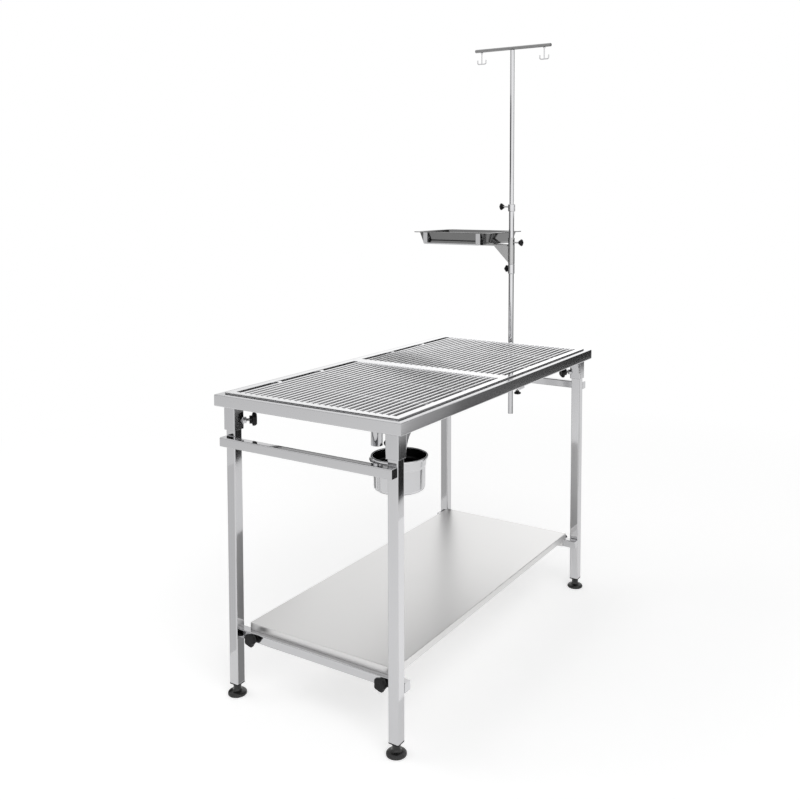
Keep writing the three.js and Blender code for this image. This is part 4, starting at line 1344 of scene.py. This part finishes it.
@dataclass
class Pole:
    """Clamp, telescopic tubes, locking collar, crossbar and drip hooks."""

    wall: float = 1.2 * MM
    collar_lip: float = 2 * MM
    upper_bore: float = 8.3 * MM
    lower_bore: float = 9.8 * MM
    clamp_edge: float = 1.2 * MM
    pad: float = 8 * MM
    pad_height: float = 4 * MM
    pad_edge: float = 0.8 * MM
    lid: float = 1 * MM
    bar_lid: float = 0.2  # of the crossbar's radius
    bar_edge: float = 2 * MM
    bar_sides: int = 32
    hook_wire: float = 2 * MM
    hook_rise: float = 13 * MM
    hook_bend: float = 11 * MM
    hook_sides: int = 16
    stem_ring: float = 20 * MM
    hook_collar: tuple[float, float] = (4 * MM, 4 * MM)  # radius and height
    hook_collar_edge: float = 1 * MM
    hook_collar_sides: int = 24
    axis: Array = field(init=False)

    def __post_init__(self) -> None:
        """Takes the pole's axis from the lower tube's box."""
        self.axis = plan_centre("lower_pole")

    def build_tube(self, node: str, body: str) -> None:
        """Builds an open round tube in a node's box.

        Args:
            node: the CAD node.
            body: the body that carries it.
        """
        low, high = span(node)
        outer = (high[0] - low[0]) / 2
        grid = pipe(outer - self.wall, outer, (low[2], high[2]), CUT_EDGE, steps=2) + self.axis
        place(Skin().shell(grid, ring=True), f"{node}_tube", body, Finish.POLISHED_Z, node)

    def build_collar(self, node: str, body: str, bore: float) -> None:
        """Builds a collar with eased rims about the pole.

        Args:
            node: the CAD node.
            body: the body that carries it.
            bore: its inner radius.
        """
        low, high = span(node)
        outer = (high[0] - low[0]) / 2
        grid = pipe(bore, outer, (low[2], high[2]), self.collar_lip, steps=4) + self.axis
        place(Skin().shell(grid, ring=True), f"{node}_ring", body, Finish.SATIN, node)

    def build_pad(self) -> None:
        """Builds the pad on the tip of the clamp's screw."""
        top = span("pole_clamp_screw")[1][2]
        ends = (top - self.pad_height, top)
        grid = round_bar(self.pad, ends, self.pad_edge, self.lid, steps=3, sides=self.bar_sides)
        skin = Skin().shell(grid + plan_centre("pole_clamp_screw"))
        place(skin, "pole_clamp_pad", "pole_clamp_screw", Finish.SCREW)

    def build_crossbar(self) -> None:
        """Builds the crossbar: a round bar along Y with eased ends."""
        low, high = span("crossbar")
        half, radius = (high[1] - low[1]) / 2, (high[0] - low[0]) / 2
        lid = self.bar_lid * radius
        bar = round_bar(radius, (-half, half), self.bar_edge, lid, steps=5, sides=self.bar_sides)
        skin = Skin().shell(laid(bar, (low + high) / 2, ALONG_Y))
        # The crossbar's satin is painted darker, as painted shade
        place(skin, "crossbar_rod", "upper_pole", Finish.BAR_PAINTED_SHADE, "crossbar")

    def build_hook(self, node: str) -> None:
        """Builds an anchor hook: a stem with a collar, and a bow of wire whose ends turn up.

        Args:
            node: the CAD node.
        """
        low, high = span(node)
        x, y = ((low + high) / 2)[:2]
        top, foot = high[2], low[2] + self.hook_wire
        spread = (high[1] - low[1]) / 2 - self.hook_wire
        line = [
            (x, y - spread, foot + self.hook_rise),
            (x, y - spread, foot),
            (x, y, foot),
            (x, y + spread, foot),
            (x, y + spread, foot + self.hook_rise),
        ]
        bends = np.array([0.0, self.hook_bend, 0.0, self.hook_bend, 0.0])
        bow = fillet(np.array(line), bends, steps=10)
        stem = np.array([(x, y, foot), (x, y, foot + self.stem_ring), (x, y, top)])
        radius, height = self.hook_collar
        ends = (top - height, top)
        edge, sides = self.hook_collar_edge, self.hook_collar_sides
        collar = round_bar(radius, ends, edge, self.lid, steps=5, sides=sides)
        skin = Skin().shell(round_wire(bow, self.hook_wire, self.hook_sides))
        skin.shell(sweep(stem, ring_points(self.hook_wire, self.hook_sides)))
        skin.shell(collar + np.array([x, y, 0.0]))
        place(skin, f"{node}_wire", "upper_pole", Finish.POLISHED_Z, node)

    def build(self) -> None:
        """Builds the pole from the clamp up."""
        dress("pole_clamp", Finish.SATIN, self.clamp_edge)
        SMALL_KNOB.build("pole_clamp_screw", "pole_clamp_screw")
        self.build_pad()
        self.build_tube("lower_pole", "pole_stand")
        self.build_tube("upper_pole", "upper_pole")
        self.build_collar("pole_collar", "pole_stand", self.upper_bore)
        self.build_collar("stop_collar", "stop_collar", self.lower_bore)
        SMALL_KNOB.build("pole_collar_knob", "pole_collar_knob")
        SMALL_KNOB.build("stop_collar_knob", "stop_collar_knob")
        self.build_crossbar()
        self.build_hook("drip_hook_left")
        self.build_hook("drip_hook_right")


# Instrument tray


@dataclass
class TrayArm:
    """Swing bracket, strap cradle and dished tray."""

    sleeve: float = 12 * MM
    bore: float = 10.1 * MM
    sleeve_edge: float = 1 * MM
    arm_width: float = 26 * MM
    arm_height: float = 6 * MM
    arm_edge: float = 1.2 * MM
    arm_start: float = 0.5 * MM
    gusset: float = 60 * MM
    gusset_sheet: float = 4 * MM
    gusset_bend: float = 4 * MM
    gusset_foot: float = 4 * MM
    gusset_overlap: float = 0.8 * MM
    strap: tuple[float, float] = (18 * MM, 3 * MM)  # width and thickness
    strap_edge: float = 0.7 * MM
    strap_bend: float = 7 * MM
    strap_spacing: float = 220 * MM
    post_inset: float = 0.5 * MM
    rod: float = 3 * MM
    sheet: float = 1.2 * MM
    lip: float = 11 * MM
    rim_drop: float = 3 * MM
    wall_bend: float = 9 * MM
    floor_inset: float = 24 * MM
    floor_lid: float = 2.4  # of the floor's inset
    corner_insets: tuple[float, ...] = (0.0, 11 * MM, 31 * MM, 60 * MM)
    corner_radii: tuple[float, ...] = (18 * MM, 32 * MM, 16 * MM, 8 * MM)

    def build_bracket(self) -> None:
        """Builds the bracket: a turned sleeve, a flat arm and a triangular gusset."""
        low, high = span("tray_bracket")
        axis = plan_centre("lower_pole")
        top = span("tray_cradle")[0][2] - GAP
        sleeve = pipe(self.bore, self.sleeve, (low[2], high[2]), self.sleeve_edge, steps=3)
        skin = Skin().shell(sleeve + axis, ring=True)

        near = axis + np.array([0.0, self.bore + self.arm_start, top - self.arm_height / 2])
        far = np.array([axis[0], high[1], near[2]])
        section = rectangle(self.arm_width, self.arm_height, self.arm_edge, steps=3)
        skin.shell(sweep(np.stack([near, far]), section))

        x, wall = axis[0], axis[1] + self.sleeve - self.gusset_overlap
        under, foot = top - self.arm_height, low[2] + self.gusset_foot
        web = np.array([(x, wall, under), (x, wall + self.gusset, under), (x, wall, foot)])
        bends = np.array([0.0, self.gusset_bend, self.gusset_bend])
        skin.plate(fillet(web, bends, steps=4, closed=True), self.gusset_sheet * ALONG_X)
        # The bracket's satin is painted darker, as painted shade
        place(skin, "tray_bracket_arm", "tray_bracket", Finish.ARM_PAINTED_SHADE, "tray_bracket")

    def build_cradle(self) -> None:
        """Builds the cradle: two straps bent up at both ends and two rods between them."""
        low, high = span("tray_cradle")
        middle = (low + high) / 2
        width, sheet = self.strap
        post = (high[0] - low[0]) / 2 - self.rod / 2 - self.post_inset
        left, right = middle[0] - post, middle[0] + post
        seat = low[2] + sheet / 2
        reach = np.linspace(-0.5, 0.5, 3) * self.strap_spacing + middle[1]
        section = rectangle(sheet, width, self.strap_edge, steps=2)
        skin = Skin()
        for x, y in ((left, reach[0]), (right, reach[-1])):
            line = [(left, y, high[2]), (left, y, seat), (right, y, seat), (right, y, high[2])]
            skin.shell(sweep(fillet(np.array(line), self.strap_bend, steps=6), section))
            rod = np.array([(x, along, low[2] + self.rod) for along in reach])
            skin.shell(round_wire(rod, self.rod))
        place(skin, "tray_cradle_straps", "tray_bracket", Finish.POLISHED_Y, "tray_cradle")

    def build_tray(self) -> None:
        """Builds the tray: rounded rectangles from the floor up the wall, over the rim and back.

        The profile gives inset and height; each row is the rim's box drawn in by the inset, with a
        corner radius that is tight at the rim, widest at the top of the wall and tight on the floor.
        """
        low, high = span("instrument_tray")
        t, floor, lid = self.sheet, self.floor_inset, self.floor_lid * self.floor_inset
        bottom, top, edge = low[2], high[2], high[2] - self.rim_drop
        # Inset, height and bend of each corner, from the floor's upper face to its lower one
        corners = [
            (lid, bottom + t, 0),
            (floor + t, bottom + t, self.wall_bend),
            (self.lip + t, top, 3 * MM),
            (0, top, 1.4 * MM),
            (0, edge, 1 * MM),
            (t, edge, 0.5 * MM),
            (t, top - t, 0.8 * MM),
            (self.lip, top - t, 2.5 * MM),
            (floor, bottom, self.wall_bend),
            (lid, bottom, 0),
        ]
        profile = bent(corners)
        radii = np.interp(profile[:, 0], self.corner_insets, self.corner_radii)
        dish = Skin().shell(drawn_in(low, high, profile, radii, steps=10))
        # The dish's steel is painted dark, as painted shade
        place(dish, "instrument_tray_dish", "instrument_tray", Finish.DISHED_PAINTED_SHADE, "instrument_tray")

    def build(self) -> None:
        """Builds the bracket, its knob, the cradle and the tray."""
        self.build_bracket()
        SMALL_KNOB.build("tray_bracket_knob", "tray_bracket_knob")
        self.build_cradle()
        self.build_tray()


# Studio


@dataclass(frozen=True)
class Card:
    """A card for the steel to mirror: its ends in plan, its heights and its grey at each end."""

    name: str
    start: tuple[float, float]
    end: tuple[float, float]
    heights: tuple[float, float]
    greys: tuple[float, float]


# Where the rows of cards on the right of the table stand
CLOSE, MIDDLE, DISTANT = -0.45, -1.345, -3.2

CARDS = (
    Card("card_foot", (0.7, MIDDLE), (2.0, MIDDLE), (0.0, 0.27), (0.03, 0.03)),
    Card("card_right_near", (0.85, MIDDLE), (1.3, MIDDLE), (0.27, 1.25), (0.54, 0.36)),
    Card("card_right_mid", (1.3, MIDDLE), (2.0, MIDDLE), (0.27, 1.25), (0.2, 0.11)),
    Card("card_right_far", (2.0, MIDDLE), (3.2, MIDDLE), (0.25, 1.25), (0.11, 0.0)),
    Card("card_right_end", (3.2, MIDDLE), (9.0, MIDDLE), (0.25, 1.25), (0.0, 0.0)),
    Card("card_right_high", (0.6, DISTANT), (3.0, DISTANT), (1.25, 2.7), (1.45, 1.3)),
    Card("card_right_top", (0.6, DISTANT), (3.0, DISTANT), (2.7, 5.0), (0.03, 0.03)),
    Card("card_right_dim", (3.0, DISTANT), (14.0, DISTANT), (1.25, 5.0), (0.03, 0.03)),
    Card("card_left_near", (0.06, 1.37), (-0.28, 1.45), (0.0, 1.0), (0.03, 0.03)),
    Card("card_left_mid", (-0.3, 0.575), (0.05, 0.575), (0.0, 0.4), (0.6, 0.6)),
    Card("card_left_leg", (-0.92, 0.4), (-0.76, 0.4), (0.0, 0.57), (0.8, 0.8)),
    Card("card_under_shelf", (-0.62, 0.17), (-0.48, 0.17), (0.0, 0.14), (0.34, 0.34)),
    Card("card_right_leg", (-0.52, CLOSE), (-0.3, CLOSE), (0.0, 0.5), (1.22, 1.22)),
    Card("card_right_low", (-0.3, CLOSE), (0.75, CLOSE), (0.0, 0.1), (1.0, 1.0)),
    Card("card_left", (-0.2, 4.0), (2.2, 3.4), (0.0, 3.0), (0.06, 0.04)),
    Card("card_left_front", (-3.8, 3.39), (-1.35, 4.95), (0.3, 2.3), (0.02, 0.02)),
    Card("card_left_end", (-5.6, 2.2), (-3.8, 3.39), (1.5, 2.3), (0.02, 0.02)),
    Card("card_back", (5.4, 0.8), (3.2, 4.4), (0.9, 4.5), (1.45, 0.85)),
    Card("card_front_left", (-5.3, 0.4), (-3.9, -3.4), (0.3, 4.5), (1.3, 1.45)),
    Card("card_front_right", (-3.9, -3.4), (-0.4, -5.0), (0.3, 4.5), (1.45, 1.3)),
)


@dataclass(frozen=True)
class Lamp:
    """A square soft lamp: where it hangs, its side and its power."""

    name: str
    spot: Triple
    size: float
    watts: float


LAMPS = (
    Lamp("key_lamp", (-2.6, -3.2, 4.2), 3.5, 70.0),
    Lamp("fill_lamp", (-1.5, 3.4, 3.6), 3.0, 35.0),
)


@dataclass
class Studio:
    """White floor and sky, soft lamps, cards for the steel to mirror, and the camera."""

    floor_half: float = 60.0
    floor_colour: float = 0.82
    floor_lift: float = 0.42
    floor_fade: tuple[float, float] = (1.2, 3.2)  # distances at which it starts and ends
    floor_slope: float = 0.05  # per metre
    floor_dimming: float = 0.14
    sky_light: float = 0.55
    lamp_target: Triple = (0.0, 0.0, 0.7)
    eye: Triple = (-2.4341, -1.48775, 1.367)
    heading: float = 31.64  # degrees from X towards Y
    pitch: float = -3.55  # degrees
    focal_pixels: float = 911.5
    image: float = 800.0
    principal: tuple[float, float] = (427.1, 251.7)  # pixels from the top left
    sensor: float = 36.0  # millimetres

    def seen(self, graph: Graph) -> Socket:
        """Tells rays from the camera, off gloss or through glass from the rest.

        Args:
            graph: the nodes to add to.

        Returns:
            1 for those rays and 0 for the rest.
        """
        rays = [
            graph.add("ShaderNodeLightPath", output=name)
            for name in ("Is Camera Ray", "Is Glossy Ray", "Is Transmission Ray")
        ]
        return rays[0].at_least(rays[1]).at_least(rays[2])

    def build_sky(self) -> None:
        """Sets a world that is white to look at and a plain fill for the rest."""
        world = bpy.data.worlds.new("studio")
        bpy.context.scene.world = world
        world.use_nodes = True
        graph = Graph(world.node_tree)
        seen = self.seen(graph)
        background = world.node_tree.nodes["Background"]
        graph.feed(background.inputs["Color"], (*plain(1.0), 1.0))
        graph.feed(background.inputs["Strength"], seen + (1.0 - seen) * self.sky_light)

    def flat(self, name: str, corners: list[Triple]) -> bpy.types.Object:
        """Makes a flat stage panel.

        Args:
            name: the panel's name.
            corners: its corners, in turn.

        Returns:
            The panel, linked to the scene.
        """
        data = bpy.data.meshes.new(name)
        data.from_pydata(corners, [], [tuple(range(len(corners)))])
        panel = bpy.data.objects.new(name, data)
        bpy.context.collection.objects.link(panel)
        return panel

    def build_floor(self) -> None:
        """Lays the floor: matt white near the table, which fades to the sky's white further out.

        In mirrors it dims by floor_slope per metre towards the left, up to floor_dimming.
        """
        h = self.floor_half
        floor = self.flat("floor", [(-h, -h, 0), (h, -h, 0), (h, h, 0), (-h, h, 0)])
        material, graph = blank("floor_white")
        shader = material.node_tree.nodes["Principled BSDF"]
        shader.inputs["Base Color"].default_value = (*plain(self.floor_colour), 1.0)
        shader.inputs["Roughness"].default_value = 1.0
        shader.inputs["Specular IOR Level"].default_value = 0.0
        seen = self.seen(graph)
        where = graph.add("ShaderNodeTexCoord", output="Object")
        side = graph.add("ShaderNodeSeparateXYZ", {0: where}, output="Y")
        mirrored = graph.add("ShaderNodeLightPath", output="Is Glossy Ray")
        dimming = (side * self.floor_slope).at_least(0.0).at_most(self.floor_dimming)
        shade = 1.0 - mirrored * dimming
        graph.feed(shader.inputs["Emission Color"], seen * shade * self.floor_lift)
        shader.inputs["Emission Strength"].default_value = 1.0
        distance = graph.add("ShaderNodeVectorMath", {0: where}, {"operation": "LENGTH"}, "Value")
        near, far = self.floor_fade
        fade = ((distance - near) * (1 / (far - near))).at_least(0.0).at_most(1.0)
        white = graph.add("ShaderNodeEmission", {"Color": shade})
        ends = {0: fade * seen, 1: Socket(graph, shader.outputs[0]), 2: white}
        mixed = graph.add("ShaderNodeMixShader", ends)
        graph.feed(material.node_tree.nodes["Material Output"].inputs["Surface"], mixed)
        floor.data.materials.append(material)

    def build_card(self, card: Card) -> None:
        """Stands a card that only mirrors see; its grey runs evenly from one end to the other.

        Args:
            card: the card.
        """
        a, b = np.array(card.start), np.array(card.end)
        low, high = card.heights
        panel = self.flat(card.name, [(*a, low), (*b, low), (*b, high), (*a, high)])
        material, graph = blank(f"{card.name}_grey")
        along = (b - a) / np.dot(b - a, b - a)
        where = graph.add("ShaderNodeTexCoord", output="Object")
        inputs = {0: where, 1: (*along, 0.0)}
        dot = graph.add("ShaderNodeVectorMath", inputs, {"operation": "DOT_PRODUCT"}, "Value")
        share = (dot - float(np.dot(a, along))).at_least(0.0).at_most(1.0)
        first, last = card.greys
        grey = graph.blend(share, plain(first), plain(last))
        light = graph.add("ShaderNodeEmission", {"Color": grey})
        graph.feed(material.node_tree.nodes["Material Output"].inputs["Surface"], light)
        panel.data.materials.append(material)
        panel.visible_camera = False
        panel.visible_diffuse = False
        panel.visible_shadow = False

    def build_lamp(self, lamp: Lamp) -> None:
        """Hangs a lamp that points at the table and that mirrors don't see.

        Args:
            lamp: the lamp.
        """
        data = bpy.data.lights.new(lamp.name, "AREA")
        data.size = lamp.size
        data.energy = lamp.watts
        thing = bpy.data.objects.new(lamp.name, data)
        thing.location = lamp.spot
        x, y, z = np.array(self.lamp_target) - np.array(lamp.spot)
        tilt, turn = math.atan2(math.hypot(x, y), -z), math.atan2(y, x) - math.pi / 2
        thing.rotation_euler = (tilt, 0.0, turn)
        thing.visible_glossy = False
        bpy.context.collection.objects.link(thing)

    def build_camera(self) -> None:
        """Sets the camera where the picture was taken from; the shift keeps its framing."""
        data = bpy.data.cameras.new("camera")
        data.sensor_width = self.sensor
        data.lens = self.focal_pixels / self.image * self.sensor
        data.shift_x = 0.5 - self.principal[0] / self.image
        data.shift_y = self.principal[1] / self.image - 0.5
        camera = bpy.data.objects.new("camera", data)
        camera.location = self.eye
        camera.rotation_euler = (math.radians(90 + self.pitch), 0.0, math.radians(self.heading - 90))
        bpy.context.collection.objects.link(camera)
        bpy.context.scene.camera = camera

    def build(self) -> None:
        """Builds the studio."""
        bpy.context.scene.view_settings.view_transform = "Standard"
        self.build_sky()
        self.build_floor()
        for card in CARDS:
            self.build_card(card)
        for lamp in LAMPS:
            self.build_lamp(lamp)
        self.build_camera()


def main() -> None:
    """Builds every sub-assembly, then the studio."""
    logging.basicConfig(level=logging.INFO, format="%(message)s")
    for assembly in (TableTop(), LegFrame(), Shelf(), Drain(), Pole(), TrayArm(), Studio()):
        assembly.build()
        log.info("%s done", type(assembly).__name__)


if __name__ == "__main__":
    main()
